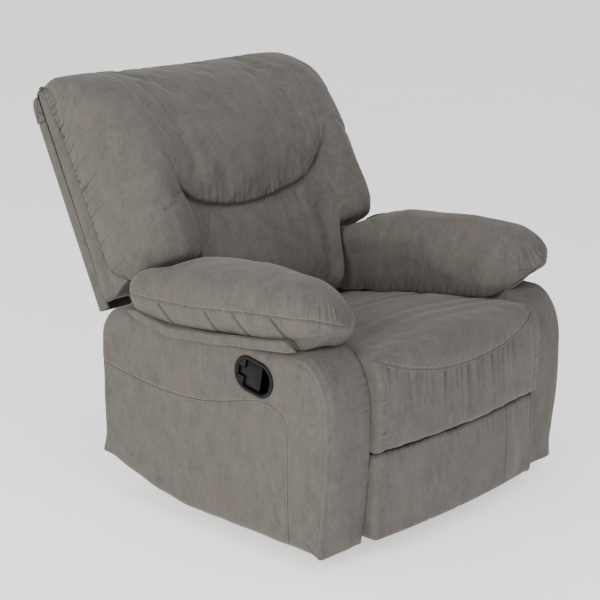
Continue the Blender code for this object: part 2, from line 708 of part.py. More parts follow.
def build_release(chassis, paddle_axis):
    face = -ARM_OUTER - TOUCH
    cup = add_part("handle_cup", prism("cup", cup_outline(0.0), face + CUP_DEPTH, face), PLASTIC, chassis)
    combine(cup, prism("flange", cup_outline(CUP_FLANGE), face - CUP_FLANGE_THICKNESS, face), 'UNION')
    combine(cup, prism("recess", cup_outline(-CUP_WALL), face + CUP_DEPTH - CUP_WALL,
                       face - CUP_FLANGE_THICKNESS - RUN), 'DIFFERENCE')
    pin_x = face + PADDLE_SINK + PADDLE_THICKNESS / 2
    pin_half = CUP_HALF_HEIGHT - CUP_WALL / 2
    combine(cup, upright_rod("sockets", pin_x, PADDLE_PIN_RADIUS + TOUCH, pin_half + TOUCH), 'DIFFERENCE')
    blade_half = CUP_HALF_HEIGHT - CUP_WALL - 2 * RUN
    rear = PADDLE_PIVOT + PADDLE_HEEL
    outline = [(-PADDLE_FRONT, -blade_half), (rear, -blade_half), (rear, -PADDLE_STEM_HALF),
               (rear + PADDLE_STEM, -PADDLE_STEM_HALF), (rear + PADDLE_STEM, PADDLE_STEM_HALF),
               (rear, PADDLE_STEM_HALF), (rear, blade_half), (-PADDLE_FRONT, blade_half)]
    turned = [cup_point(along, across) for along, across in outline]
    paddle = add_part("handle_paddle", prism("paddle", turned, face + PADDLE_SINK,
                                             face + PADDLE_SINK + PADDLE_THICKNESS), PLASTIC, paddle_axis)
    combine(paddle, upright_rod("pin", pin_x, PADDLE_PIN_RADIUS, pin_half), 'UNION')


def upright_rod(name, x, radius, half):
    """A rod on the paddle's pivot line, which leans with the cup."""
    y, z = cup_point(PADDLE_PIVOT, 0.0)
    bm = bmesh.new()
    place = Matrix.Translation((x, y, z)) @ Matrix.Rotation(radians(CUP_TILT), 4, 'X')
    bmesh.ops.create_cone(bm, cap_ends=True, segments=12, radius1=radius, radius2=radius, depth=2 * half,
                          matrix=place)
    return to_mesh(bm, name)


# Seat and its links

def swing_pivots():
    return (("front", SWING_FRONT_Y), ("rear", SWING_REAR_Y))


def build_swing_links(axes):
    for end, y in swing_pivots():
        for hand, side in SIDES:
            ends = [(y, SWING_Z), (y + SEAT_PIVOT_SHIFT, SEAT_PIVOT_Z)]
            band = [(*p, LINK_WIDTH / 2) for p in ends]
            steel_part("swing_link_%s_%s" % (end, hand), side, band, SWING_LAYER,
                       axes[end], holes=ends)


def foot_points():
    """Pivots of one footrest side at rest, as (y, z)."""
    start = Vector((FOOT_PIVOT_Y, FOOT_PIVOT_Z))
    along = Vector((sin(radians(FOOT_LINK_ANGLE)), -cos(radians(FOOT_LINK_ANGLE))))
    knee = start + along * FOOT_ARM
    tail = knee + along * FOOT_TAIL
    guide = start - FOOT_REACH.normalized() * FOOT_CRANK
    return {"main": start, "guide": guide, "knee": knee, "tail": tail, "heel": guide + tail - start,
            "end": knee + FOOT_REACH, "cross": tail + FOOT_REACH}


def build_seat(seat):
    foot = foot_points()
    seat_outer, seat_inner = layer(SEAT_LAYER)
    swing_outer = layer(SWING_LAYER)[0]
    main_outer, main_inner = layer(MAIN_LAYER)
    guide_inner = layer(GUIDE_LAYER)[1]
    lug = LINK_WIDTH / 2
    for hand, side in SIDES:
        name = "seat_rail_" + hand
        low = DECK_Z - SEAT_RAIL_HEIGHT
        bar = [(y, z, STEEL) for y in (SEAT_RAIL_FRONT_Y, BACK_HINGE_Y)
               for z in (low + STEEL, DECK_Z - STEEL)]
        drop = boxes(name, ((side * (seat_outer - TOUCH), SEAT_RAIL_FRONT_Y + lug, DECK_Z - STEEL),
                            (side * (seat_outer - DECK_FLANGE), SEAT_REAR_RAIL_Y + SEAT_WOOD, DECK_Z)))
        studs = [(y + SEAT_PIVOT_SHIFT, SEAT_PIVOT_Z, PIN_RADIUS, seat_outer - STEEL / 2, swing_outer)
                 for end, y in swing_pivots()]
        studs.append((*foot["main"], HUB_RADIUS, seat_outer - STEEL / 2, main_outer + RUN / 2))
        studs.append((*foot["main"], PIN_RADIUS, seat_outer - STEEL / 2, main_inner))
        head = guide_inner - RUN / 2
        studs.append((*foot["guide"], PIN_RADIUS, seat_outer - STEEL / 2, head - PIN_HEAD / 2))
        studs.append((*foot["guide"], PIN_HEAD_RADIUS, head, head - PIN_HEAD))
        studs.append((BACK_HINGE_Y, SEAT_PIVOT_Z, HUB_RADIUS, seat_outer - STEEL / 2, guide_inner))
        rail = steel_part(name, side, bar, SEAT_LAYER, seat, extra=drop)
        gusset = [(*foot["main"], lug), (*foot["guide"], lug), (FOOT_PIVOT_Y - lug, low + lug, lug),
                  (foot["guide"].x + 2 * lug, low + lug, lug)]
        web = side * (seat_outer - TOUCH), side * (seat_inner + TOUCH)
        combine(rail, prism(name, hull(gusset), *web), 'UNION')
        hinge_end = [(BACK_HINGE_Y, SEAT_PIVOT_Z, DECK_RISE)]
        combine(rail, prism(name, hull(hinge_end), *web), 'UNION')
        for y, z, radius, start, end in studs:
            combine(rail, rods(name, (y, z, radius, side * start, side * end), sides=HUB_SIDES), 'UNION')
    reach = seat_inner - TOUCH
    for name, y in (("seat_front_rail", SEAT_FRONT_RAIL_Y), ("seat_rear_rail", SEAT_REAR_RAIL_Y)):
        ends = (-reach, y, DECK_Z + TOUCH), (reach, y + SEAT_WOOD, SEAT_WOOD_TOP)
        add_part(name, boxes(name, ends), WOOD, seat)
    build_seat_springs(seat)
    build_seat_cushion(seat)


def build_seat_springs(seat):
    start, end = SEAT_FRONT_RAIL_Y + SEAT_WOOD / 3, SEAT_REAR_RAIL_Y + SEAT_WOOD * 2 / 3
    height = SEAT_WOOD_TOP + TOUCH + SEAT_SPRING_WIRE
    per_wave = 6
    count = SEAT_SPRING_WAVES * per_wave
    for number in range(SEAT_SPRING_COUNT):
        x = (number - (SEAT_SPRING_COUNT - 1) / 2) * SEAT_SPRING_PITCH
        route = [(x + SEAT_SPRING_SWING * sin(2 * pi * k / per_wave),
                  start + (end - start) * k / count, height)
                 for k in range(count + 1)]
        name = "seat_spring_%d" % (number + 1)
        add_part(name, wire(name, route, SEAT_SPRING_WIRE, 4), ZINC, seat)
    print("seat springs least gap between waves %.4f m" % least_self_gap(route, SEAT_SPRING_WIRE, per_wave))


def build_seat_cushion(seat):
    apron_rear = SEAT_FRONT_Y + APRON_THICKNESS
    step = 2 * CLOTH_GAP
    top = SEAT_FRONT_Z

    def shape(x, y, z):
        across = x / SEAT_HALF_WIDTH
        if abs(z - CUSHION_BOTTOM) < 1e-5:
            if y < apron_rear + step / 2:
                z = APRON_BOTTOM
            if y < SEAT_FRONT_Y + TOUCH:
                y -= SEAT_BULGE * (1 - across ** 2)
            return (x, y, z)
        share = (z - CUSHION_BOTTOM) / (top - CUSHION_BOTTOM)
        along = max(0.0, (y - SEAT_FRONT_Y) / (SEAT_REAR_Y - SEAT_FRONT_Y))
        fall = (SEAT_FRONT_Z - SEAT_REAR_Z) * along ** SEAT_FALL_POWER
        roof = SEAT_FRONT_Z - fall + SEAT_CROWN * (1 - across ** 2)
        floor = APRON_BOTTOM if y < apron_rear + step / 2 else CUSHION_BOTTOM
        height = floor + (roof - floor) * share
        if y < SEAT_FRONT_Y + TOUCH:
            y -= SEAT_BULGE * (1 - across ** 2) * (SEAT_BULGE_FOOT - share) + SEAT_ROLL * sin(pi * share)
            height -= SEAT_EDGE_DROP * share ** 4
        return (x * (1.0 - SEAT_DRAW * (2 * share - 1) ** 2), y, height)

    middle = (apron_rear + SEAT_REAR_Y) / 2
    cuts = (spread(-SEAT_HALF_WIDTH, SEAT_HALF_WIDTH, 6),
            (apron_rear, apron_rear + step, (apron_rear + middle) / 2, middle, (middle + SEAT_REAR_Y) / 2),
            (CUSHION_BOTTOM + (top - CUSHION_BOTTOM) * 0.4, CUSHION_BOTTOM + (top - CUSHION_BOTTOM) * 0.75))
    cushion("seat_cushion", (-SEAT_HALF_WIDTH, SEAT_FRONT_Y, CUSHION_BOTTOM),
            (SEAT_HALF_WIDTH, SEAT_REAR_Y, top), cuts, shape, 2, CUSHION_BOTTOM, SUEDE, seat)


# Back, built upright in its own frame: local z is s and local y is minus t

def seam_x(s):
    """Half width of the head panel at a height."""
    rise = max(0.0, (s - SEAM_FLARE_S) / (BOLSTER_TOP - SEAM_FLARE_S))
    return SEAM_X + SEAM_FLARE * rise ** SEAM_FLARE_POWER


def tuck_s(x):
    """Height of the tuck under the head pillow."""
    return TUCK_S + TUCK_RISE * (x / SEAM_X) ** 2


def build_back(back):
    guide_outer, guide_inner = layer(GUIDE_LAYER)
    upright_outer = guide_inner - TOUCH
    upright_inner = upright_outer - BACK_UPRIGHT_WIDTH
    frame_t = (FRAME_REAR_T + FRAME_FRONT_T) / 2
    for hand, side in SIDES:
        band = [(0, 0, DECK_RISE), (-frame_t, BACK_UPRIGHT_BOTTOM + LINK_WIDTH, LINK_WIDTH),
                (-frame_t, BACK_BRACKET_REACH, BACK_BRACKET_TIP)]
        bracket = add_part("back_bracket_" + hand, prism("bracket", hull(band), side * guide_outer,
                                                         side * guide_inner), ZINC, back)
        combine(bracket, rods("hole", (0, 0, HUB_RADIUS + TOUCH, side * (guide_outer + RUN),
                                       side * (guide_inner - RUN)), sides=HUB_SIDES), 'DIFFERENCE')
        add_part("back_upright_" + hand,
                 boxes("upright", ((side * upright_outer, -FRAME_REAR_T, BACK_UPRIGHT_BOTTOM),
                                   (side * upright_inner, -FRAME_FRONT_T, BACK_SHELL_TOP))), WOOD, back)
        build_bolster(hand, side, back)
    reach = upright_inner - TOUCH
    for name, low, high in (("back_top_rail", BACK_SHELL_TOP - BACK_TOP_RAIL, BACK_SHELL_TOP),
                            ("back_lower_rail", BACK_LOWER_RAIL_S, BACK_LOWER_RAIL_S + BACK_LOWER_RAIL)):
        add_part(name, boxes(name, ((-reach, -FRAME_REAR_T, low), (reach, -FRAME_FRONT_T, high))), WOOD, back)
    build_shell(back)
    build_head(back)
    build_lumbar(back)


def build_shell(back):
    """Rear panel with two side wings, and a narrower tail that drops between the arms."""
    wall = BACK_SHELL_WALL
    wing = -FRAME_FRONT_T
    outside = ((-BACK_HALF_WIDTH, wing, BACK_SHELL_BOTTOM), (BACK_HALF_WIDTH, -BACK_REAR_T, BACK_SHELL_TOP))
    shell = add_part("back_shell", boxes("shell", outside), SUEDE, back)
    soft = shell.modifiers.new("edge", 'BEVEL')
    soft.width = BACK_EDGE
    soft.segments = 3
    soft.limit_method = 'WEIGHT'
    weights = shell.data.attributes.new("bevel_weight_edge", 'FLOAT', 'EDGE')
    for edge in shell.data.edges:
        ends = [shell.data.vertices[k].co for k in edge.vertices]
        at_rear = all(abs(p.y + BACK_REAR_T) < TOUCH for p in ends)
        weights.data[edge.index].value = float(at_rear and abs(ends[0].x - ends[1].x) < TOUCH)
    inside = BACK_HALF_WIDTH - wall
    combine(shell, boxes("hollow", ((-inside, wing - RUN, BACK_SHELL_BOTTOM - RUN),
                                    (inside, -BACK_REAR_T - wall, BACK_SHELL_TOP + RUN))), 'DIFFERENCE')
    tail = ARM_INNER - BACK_TAIL_GAP
    combine(shell, boxes("tail", ((-tail, -BACK_REAR_T - wall + RUN, BACK_TAIL_BOTTOM),
                                  (tail, -BACK_REAR_T - RUN, BACK_SHELL_BOTTOM + BACK_EDGE))), 'UNION')
    low = BACK_SHELL_TOP + TOUCH

    def wrap_shape(x, y, z):
        share = (z - low) / BACK_WRAP
        round_off = WRAP_ROUND * (BACK_FRAME_DEPTH + wall) * share ** 2
        limit = BACK_HALF_WIDTH * (1.0 - WRAP_DRAW * share)
        if y > -FRAME_FRONT_T + TOUCH:
            y -= round_off
        arch = HEAD_ARCH * WRAP_ARCH * share * (1 - (x / BACK_HALF_WIDTH) ** 2)
        return (max(-limit, min(limit, x)), y, z + arch)

    cuts = (spread(-BACK_HALF_WIDTH, BACK_HALF_WIDTH, 6), (), (low + BACK_WRAP / 2,))
    cushion("back_top_wrap", (-BACK_HALF_WIDTH, -FRAME_FRONT_T, low),
            (BACK_HALF_WIDTH, -BACK_REAR_T, low + BACK_WRAP), cuts, wrap_shape, 2, low, SUEDE, back)


def back_depth(full, s):
    """Depth of a back cushion over the frame at a height."""
    fade = max(0.0, (s - BACK_FULL_S) / BACK_FADE)
    return (full - CUSHION_BASE_T) * (1 - fade ** 3)


def back_edge_x(s):
    """Half width of the whole back at a height, drawn in at the top corners."""
    corner = max(0.0, (s - HEAD_TOP + BACK_CORNER_S) / BACK_CORNER_S)
    return BACK_HALF_WIDTH - BACK_CORNER * corner ** 2


def build_bolster(hand, side, back):
    base = -CUSHION_BASE_T
    face = -BOLSTER_DEPTH

    def shape(p, y, s):
        share = (base - y) / (base - face)
        inner = seam_x(s) + CLOTH_GAP / 2 + SIDE_DRAW * (2 * share - 1) ** 2
        outer = back_edge_x(s) + BOLSTER_SWELL * sin(pi * share) - BOLSTER_ROUND * share ** 3
        x = inner + (max(outer, inner + 2 * SIDE_DRAW) - inner) * p
        lift = 1.0 - BOLSTER_CROWN * (2 * p - 1) ** 2
        return (side * x, base - share * back_depth(BOLSTER_DEPTH, s) * lift, s)

    cuts = ((0.3, 0.7), (base + (face - base) * 0.45, base + (face - base) * 0.8),
            spread(BOLSTER_BOTTOM, BOLSTER_TOP, 7))
    cushion("back_bolster_" + hand, (0.0, face, BOLSTER_BOTTOM), (1.0, base, BOLSTER_TOP), cuts, shape,
            1, base, SUEDE, back)


def build_head(back):
    base = -CUSHION_BASE_T
    face = -HEAD_DEPTH

    def shape(p, y, q):
        share = (base - y) / (base - face)
        top = HEAD_TOP - HEAD_ARCH * p ** 2
        level = TUCK_S + (top - TUCK_S) * q
        x = p * (seam_x(level) - CLOTH_GAP / 2 - SIDE_DRAW * (2 * share - 1) ** 2)
        low = tuck_s(x)
        s = low + (top - low) * q
        return (x, base - share * back_depth(HEAD_DEPTH, s) * (1 - PANEL_CROWN * p ** 2), s)

    cuts = (spread(-1.0, 1.0, 6), (base + (face - base) * 0.45, base + (face - base) * 0.8),
            spread(0.0, 1.0, 6))
    cushion("head_pillow", (-1.0, face, 0.0), (1.0, base, 1.0), cuts, shape, 1, base, SUEDE, back)


def build_lumbar(back):
    base = -CUSHION_BASE_T
    face = -LUMBAR_DEPTH

    def shape(p, y, q):
        share = (base - y) / (base - face)
        x = p * (SEAM_X - CLOTH_GAP / 2 - SIDE_DRAW * (2 * share - 1) ** 2)
        top = tuck_s(x) - CLOTH_GAP
        s = LUMBAR_BOTTOM + (top - LUMBAR_BOTTOM) * q
        depth = LUMBAR_DEPTH - CUSHION_BASE_T + LUMBAR_SLOPE * (s - LUMBAR_BOTTOM)
        return (x, base - share * depth * (1 - PANEL_CROWN * p ** 2), s)

    cuts = (spread(-1.0, 1.0, 6), (base + (face - base) * 0.5,), spread(0.0, 1.0, 4))
    cushion("lumbar_pad", (-1.0, face, 0.0), (1.0, base, 1.0), cuts, shape, 1, base, SUEDE, back)


# Footrest

def build_footrest(axes):
    at = foot_points()
    bar = LINK_WIDTH / 2
    cross_outer, cross_inner = layer(CROSS_LAYER)
    guide_inner = layer(GUIDE_LAYER)[1]
    main_outer, main_inner = layer(MAIN_LAYER)
    end_inner = layer(END_LAYER)[1]
    head = end_inner - RUN / 2
    for hand, side in SIDES:
        def band(*names):
            return [(*at[name], bar) for name in names]

        steel_part("foot_main_link_" + hand, side, band("main", "tail"), MAIN_LAYER, axes["main"],
                   holes=[at["main"]],
                   studs=[(*at["tail"], PIN_RADIUS, main_outer - STEEL / 2, cross_outer),
                          (*at["knee"], PIN_RADIUS, main_inner + STEEL / 2, head - PIN_HEAD / 2),
                          (*at["knee"], PIN_HEAD_RADIUS, head, head - PIN_HEAD)])
        steel_part("foot_guide_link_" + hand, side, band("guide", "heel"), GUIDE_LAYER, axes["guide"],
                   holes=[at["guide"]],
                   studs=[(*at["heel"], PIN_RADIUS, guide_inner + STEEL / 2, cross_inner)])
        steel_part("foot_cross_link_" + hand, side, band("heel", "cross"), CROSS_LAYER, axes["cross"],
                   holes=[at["heel"], at["tail"], at["cross"]])
        steel_part("foot_end_link_" + hand, side, band("knee", "end"), END_LAYER, axes["end"],
                   holes=[at["knee"], at["end"]])
        build_foot_bracket(hand, side, axes["pad"], at, head)
    reach = main_inner - TOUCH
    rod = rods("tube", (*at["main"], FOOT_TUBE_RADIUS, -reach, reach), sides=16)
    bore = rods("bore", (*at["main"], FOOT_TUBE_RADIUS - TUBE_WALL, -reach - RUN, reach + RUN), sides=16)
    tube = add_part("foot_torque_tube", rod, ZINC, axes["main"])
    combine(tube, bore, 'DIFFERENCE')
    smooth(tube)
    front = FOOT_BOARD_REAR_Y - FOOT_BOARD
    low, high = FOOT_PAD_BOTTOM + FOOT_BOARD_INSET, FOOT_PAD_TOP - FOOT_BOARD_INSET
    corners = (-FOOT_BOARD_HALF_WIDTH, front, low), (FOOT_BOARD_HALF_WIDTH, FOOT_BOARD_REAR_Y, high)
    add_part("foot_board", boxes("board", corners), WOOD, axes["pad"])
    build_foot_pad(axes["pad"])


def build_foot_bracket(hand, side, pad, at, head):
    main_outer, main_inner = layer(MAIN_LAYER)
    cross_outer = layer(CROSS_LAYER)[0]
    bar = LINK_WIDTH / 2
    seat_y = FOOT_BOARD_REAR_Y + TOUCH
    low = FOOT_PAD_BOTTOM + 4 * FOOT_BOARD_INSET
    high = FOOT_PAD_TOP - 2 * FOOT_BOARD_INSET
    corners = [(*at["end"], bar), (*at["cross"], bar)]
    corners += [(seat_y + bar, z, bar) for z in (low + bar, high - bar)]
    flange = boxes("flange", ((side * (main_outer - TOUCH), seat_y, low),
                              (side * (main_inner - FOOT_FLANGE), seat_y + STEEL, high)))
    studs = [(*at["cross"], PIN_RADIUS, main_outer - STEEL / 2, cross_outer),
             (*at["end"], PIN_RADIUS, main_inner + STEEL / 2, head - PIN_HEAD / 2),
             (*at["end"], PIN_HEAD_RADIUS, head, head - PIN_HEAD)]
    steel_part("foot_bracket_" + hand, side, corners, MAIN_LAYER, pad, studs=studs, extra=flange)


def build_foot_pad(pad):
    base = FOOT_BOARD_REAR_Y - FOOT_BOARD - TOUCH
    low, high = FOOT_PAD_BOTTOM, FOOT_PAD_TOP
    half = SEAT_HALF_WIDTH

    def shape(x, y, z):
        share = (base - y) / (base - FOOT_PAD_FRONT_Y)
        across, up = x / half, 2 * (z - low) / (high - low) - 1
        y -= FOOT_PAD_BULGE * share * (1 - across ** 2) * (1 - FOOT_PAD_CROWN * up ** 2)
        draw = 1.0 - FOOT_PAD_DRAW * (2 * share - 1) ** 2
        return (x * draw, y, (low + high) / 2 + up * draw * (high - low) / 2)

    cuts = (spread(-half, half, 6), (base + (FOOT_PAD_FRONT_Y - base) * 0.55,), spread(low, high, 4))
    cushion("foot_pad", (-half, FOOT_PAD_FRONT_Y, low), (half, base, high), cuts, shape, 1, base, SUEDE, pad)


# Put it together

def centre_on_origin(root):
    """Bring the middle of the whole box over the origin."""
    depsgraph = bpy.context.evaluated_depsgraph_get()
    reach = []
    for item in parts.objects:
        if item.type == 'MESH':
            seen = item.evaluated_get(depsgraph)
            reach += [(seen.matrix_world @ vertex.co).y for vertex in seen.data.vertices]
    root.location.y = -(min(reach) + max(reach)) / 2
    bpy.context.view_layer.update()


def build():
    at = foot_points()
    root = axis_empty("floor_origin", (0, 0, 0))
    chassis = axis_empty("rock_axis", (0, ROCK_Y, ROCK_Z), root)
    pivot_y, pivot_z = cup_point(PADDLE_PIVOT, 0.0)
    pin_x = -ARM_OUTER - TOUCH + PADDLE_SINK + PADDLE_THICKNESS / 2
    paddle_axis = axis_empty("paddle_axis", (pin_x, pivot_y, pivot_z), chassis)
    swings = {end: axis_empty("swing_%s_axis" % end, (0, y, SWING_Z), chassis) for end, y in swing_pivots()}
    seat = axis_empty("seat_axis", (0, SWING_FRONT_Y + SEAT_PIVOT_SHIFT, SEAT_PIVOT_Z), swings["front"])
    back = axis_empty("back_axis", BACK_HINGE, seat, -radians(BACK_LEAN), own_frame=True)
    main = axis_empty("foot_main_axis", (0, *at["main"]), seat)
    end = axis_empty("foot_end_axis", (0, *at["knee"]), main)
    foot_axes = {"main": main, "end": end,
                 "guide": axis_empty("foot_guide_axis", (0, *at["guide"]), seat),
                 "cross": axis_empty("foot_cross_axis", (0, *at["tail"]), main),
                 "pad": axis_empty("foot_pad_axis", (0, *at["end"]), end)}
    build_base(root)
    for hand, side in SIDES:
        build_rocker_spring(hand, side, root)
        build_arm(hand, side, chassis)
    build_chassis(chassis)
    build_release(chassis, paddle_axis)
    build_swing_links(swings)
    build_seat(seat)
    build_back(back)
    build_footrest(foot_axes)
    centre_on_origin(root)
    for item in parts.objects:
        if item.type == 'EMPTY':
            print(item.name, "at", [round(value, 5) for value in item.matrix_world.translation])


build()
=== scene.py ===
import math
import bpy
import bmesh
import numpy as np
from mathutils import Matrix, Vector
from mathutils.bvhtree import BVHTree


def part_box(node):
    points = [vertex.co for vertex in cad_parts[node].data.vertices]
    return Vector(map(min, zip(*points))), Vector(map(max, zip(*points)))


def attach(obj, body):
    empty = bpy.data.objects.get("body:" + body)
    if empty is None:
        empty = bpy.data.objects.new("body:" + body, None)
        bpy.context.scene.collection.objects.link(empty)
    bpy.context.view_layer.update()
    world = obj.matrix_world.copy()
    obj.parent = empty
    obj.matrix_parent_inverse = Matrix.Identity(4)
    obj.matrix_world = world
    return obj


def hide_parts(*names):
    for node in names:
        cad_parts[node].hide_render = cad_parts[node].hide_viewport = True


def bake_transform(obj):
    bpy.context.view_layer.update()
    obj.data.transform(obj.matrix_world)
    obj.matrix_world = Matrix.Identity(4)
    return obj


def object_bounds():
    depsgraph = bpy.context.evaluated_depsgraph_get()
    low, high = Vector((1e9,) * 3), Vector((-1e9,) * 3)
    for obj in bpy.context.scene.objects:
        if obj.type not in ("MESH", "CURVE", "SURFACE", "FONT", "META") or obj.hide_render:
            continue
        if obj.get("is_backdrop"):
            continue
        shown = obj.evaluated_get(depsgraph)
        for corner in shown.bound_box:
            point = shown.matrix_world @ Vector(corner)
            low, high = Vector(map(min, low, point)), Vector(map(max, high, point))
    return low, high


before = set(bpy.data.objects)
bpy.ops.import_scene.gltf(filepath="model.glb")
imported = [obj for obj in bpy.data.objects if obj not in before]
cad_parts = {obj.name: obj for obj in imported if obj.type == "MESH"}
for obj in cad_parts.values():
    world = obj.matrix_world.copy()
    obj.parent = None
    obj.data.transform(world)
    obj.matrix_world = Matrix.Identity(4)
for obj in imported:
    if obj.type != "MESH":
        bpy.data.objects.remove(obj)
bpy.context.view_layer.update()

seatRearY = 0.082  # rear of the seat in the drawings below, which the CAD model then centres over the floor
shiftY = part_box("seat_cushion")[1].y - seatRearY
sides = (("left", 1), ("right", -1))
print("frame loaded, shift", round(shiftY, 5))


# Small maths used by every cushion

def smoothStep(value, low, high):
    x = np.clip((value - low) / (high - low), 0.0, 1.0)
    return x * x * (3 - 2 * x)


def bell(distance, width):
    return np.exp(-(distance / width) ** 2)


def ripple(along, size, seed):  # uneven waves, about one per size, roughly -1 to 1
    rng = np.random.default_rng(seed)
    total = 0.0
    for _ in range(5):
        total = total + np.sin(2 * np.pi * (along * rng.uniform(0.6, 1.5) / size + rng.random()))
    return total / 2.4


def gathered(along, size, seed):  # rounded puffs between sharp creases, -1 to 1
    phase = np.pi * along / size + 1.3 * ripple(along, size * 5, seed)
    strength = 0.75 + 0.25 * ripple(along, size * 2.3, seed + 500)
    return (2 * np.abs(np.sin(phase)) ** 0.8 - 1) * strength


def wander(points, size, seed):  # soft unevenness in space
    rng = np.random.default_rng(seed)
    total = 0.0
    for _ in range(7):
        way = rng.normal(size=3)
        way *= rng.uniform(0.5, 1.3) / np.linalg.norm(way) / size
        total = total + np.sin(2 * np.pi * (points @ way + rng.random()))
    return total / 2.8


def evenly(points, count, closed=False):  # the same line with points at equal steps
    points = np.asarray(points, float)
    if closed:
        points = np.vstack([points, points[:1]])
    run = np.concatenate([[0], np.cumsum(np.linalg.norm(np.diff(points, axis=0), axis=1))])
    at = np.linspace(0, run[-1], count + 1)[:-1] if closed else np.linspace(0, run[-1], count)
    return np.stack([np.interp(at, run, points[:, k]) for k in range(points.shape[1])], -1)


def splineWeights(fine, coarse, closed=False):  # smooth rise from a coarse row of points to a fine one
    weights = np.zeros((fine, coarse))
    for i in range(fine):
        place = i * (coarse / fine if closed else (coarse - 1) / (fine - 1))
        k = int(place)
        f = place - k
        parts = (-f + 2 * f * f - f ** 3, 2 - 5 * f * f + 3 * f ** 3, f + 4 * f * f - 3 * f ** 3,
                 f ** 3 - f * f)
        for step, part in zip((-1, 0, 1, 2), parts):
            j = (k + step) % coarse if closed else min(max(k + step, 0), coarse - 1)
            weights[i, j] += part / 2
    return weights


def softLine(points, count, closed=False):  # smooth line through a few points
    points = np.asarray(points, float)
    dense = splineWeights(40 * len(points), len(points), closed) @ points
    return evenly(dense, count, closed)


def through(points):  # smooth function of one value through a few given places
    dense = softLine(sorted(points), 240)
    return lambda at: np.interp(at, dense[:, 0], dense[:, 1])


def roundedLoop(corners, count):  # closed outline from (y, z, radius) corners
    dense = []
    total = len(corners)
    for k, (y, z, radius) in enumerate(corners):
        here = np.array((y, z))
        before = np.array(corners[k - 1][:2]) - here
        after = np.array(corners[(k + 1) % total][:2]) - here
        reach = min(radius, 0.49 * np.linalg.norm(before), 0.49 * np.linalg.norm(after))
        start = here + before / np.linalg.norm(before) * reach
        end = here + after / np.linalg.norm(after) * reach
        for f in np.linspace(0, 1, 13):
            dense.append((1 - f) ** 2 * start + 2 * f * (1 - f) * here + f * f * end)
    return evenly(dense, count, True)


def loopNormals(loop):  # inward normals of a closed outline
    way = np.roll(loop, -1, 0) - np.roll(loop, 1, 0)
    normal = np.stack([-way[:, 1], way[:, 0]], -1)
    normal /= np.linalg.norm(normal, axis=1, keepdims=True) + 1e-12
    area = np.sum(loop[:, 0] * np.roll(loop[:, 1], -1) - np.roll(loop[:, 0], -1) * loop[:, 1])
    return normal if area > 0 else -normal


def gridNormals(points, wrap):
    du = np.gradient(points, axis=0)
    dv = (np.roll(points, -1, 1) - np.roll(points, 1, 1)) if wrap else np.gradient(points, axis=1)
    normal = np.cross(du, dv)
    normal /= np.linalg.norm(normal, axis=2, keepdims=True) + 1e-12
    return normal


def outward(points, wrap, row=None):  # normals that point away from the middle of a row
    normal = gridNormals(points, wrap)
    row = points.shape[0] // 2 if row is None else row
    away = points[row] - points[row].mean(0)
    return normal if np.sum(normal[row] * away) > 0 else -normal


def placed(name, data):
    made = bpy.data.objects.new(name, data)
    bpy.context.scene.collection.objects.link(made)
    return made


def gridObject(name, points, wrap, foldShade=None, merge=True):
    rows, columns = points.shape[:2]
    flat = points.reshape(-1, 3) + np.array((0, shiftY, 0))
    i = np.arange(rows - 1)[:, None]
    j = np.arange(columns if wrap else columns - 1)[None, :]
    k = (j + 1) % columns
    faces = np.stack([i * columns + j, (i + 1) * columns + j, (i + 1) * columns + k, i * columns + k], -1)
    mesh = bpy.data.meshes.new(name)
    mesh.from_pydata(flat.tolist(), [], faces.reshape(-1, 4).tolist())
    # optional per-point share of painted shade, for creases and seam grooves, kept as an attribute
    if foldShade is not None:
        layer = mesh.attributes.new("foldShade", 'FLOAT', 'POINT')
        layer.data.foreach_set("value", np.ascontiguousarray(foldShade, np.float32).ravel())
    if merge:
        bm = bmesh.new()
        bm.from_mesh(mesh)
        bmesh.ops.remove_doubles(bm, verts=bm.verts, dist=2e-5)
        bmesh.ops.dissolve_degenerate(bm, edges=bm.edges, dist=1e-6)
        rim = [edge for edge in bm.edges if edge.is_boundary]
        if rim:
            bmesh.ops.holes_fill(bm, edges=rim, sides=0)
        bmesh.ops.recalc_face_normals(bm, faces=bm.faces)
        if bm.calc_volume(signed=True) < 0:
            bmesh.ops.reverse_faces(bm, faces=bm.faces)
        bm.to_mesh(mesh)
        bm.free()
    mesh.shade_smooth()
    return placed(name, mesh)


def puff(points, wrap, pinned, pressure, cap, grow=0.0):  # cloth under pressure, held at its seams
    trial = gridObject("puffTrial", points, wrap, merge=False)
    group = trial.vertex_groups.new(name="held")
    held = np.clip(pinned, 0, 1).ravel()
    for k in np.nonzero(held > 0.02)[0]:
        group.add([int(k)], float(held[k]), 'REPLACE')
    cloth = trial.modifiers.new("cloth", 'CLOTH')
    cloth.settings.quality = 4
    cloth.settings.mass = 0.35
    cloth.settings.tension_stiffness = 18
    cloth.settings.compression_stiffness = 12
    cloth.settings.shear_stiffness = 6
    cloth.settings.bending_stiffness = 0.6
    cloth.settings.use_pressure = True
    cloth.settings.uniform_pressure_force = pressure
    cloth.settings.vertex_group_mass = "held"
    cloth.settings.shrink_min = grow
    cloth.settings.shrink_max = grow
    cloth.settings.effector_weights.gravity = 0
    cloth.collision_settings.use_collision = False
    cloth.point_cache.frame_start = 1
    cloth.point_cache.frame_end = 20
    scene = bpy.context.scene
    for number in range(1, 21):
        scene.frame_set(number)
    seen = trial.evaluated_get(bpy.context.evaluated_depsgraph_get())
    moved = np.zeros(len(seen.data.vertices) * 3)
    seen.data.vertices.foreach_get("co", moved)
    scene.frame_set(1)
    mesh = trial.data
    bpy.data.objects.remove(trial)
    bpy.data.meshes.remove(mesh)
    change = moved.reshape(points.shape) - points - np.array((0, shiftY, 0))
    size = np.linalg.norm(change, axis=2, keepdims=True)
    return change * np.minimum(1.0, cap / (size + 1e-9))


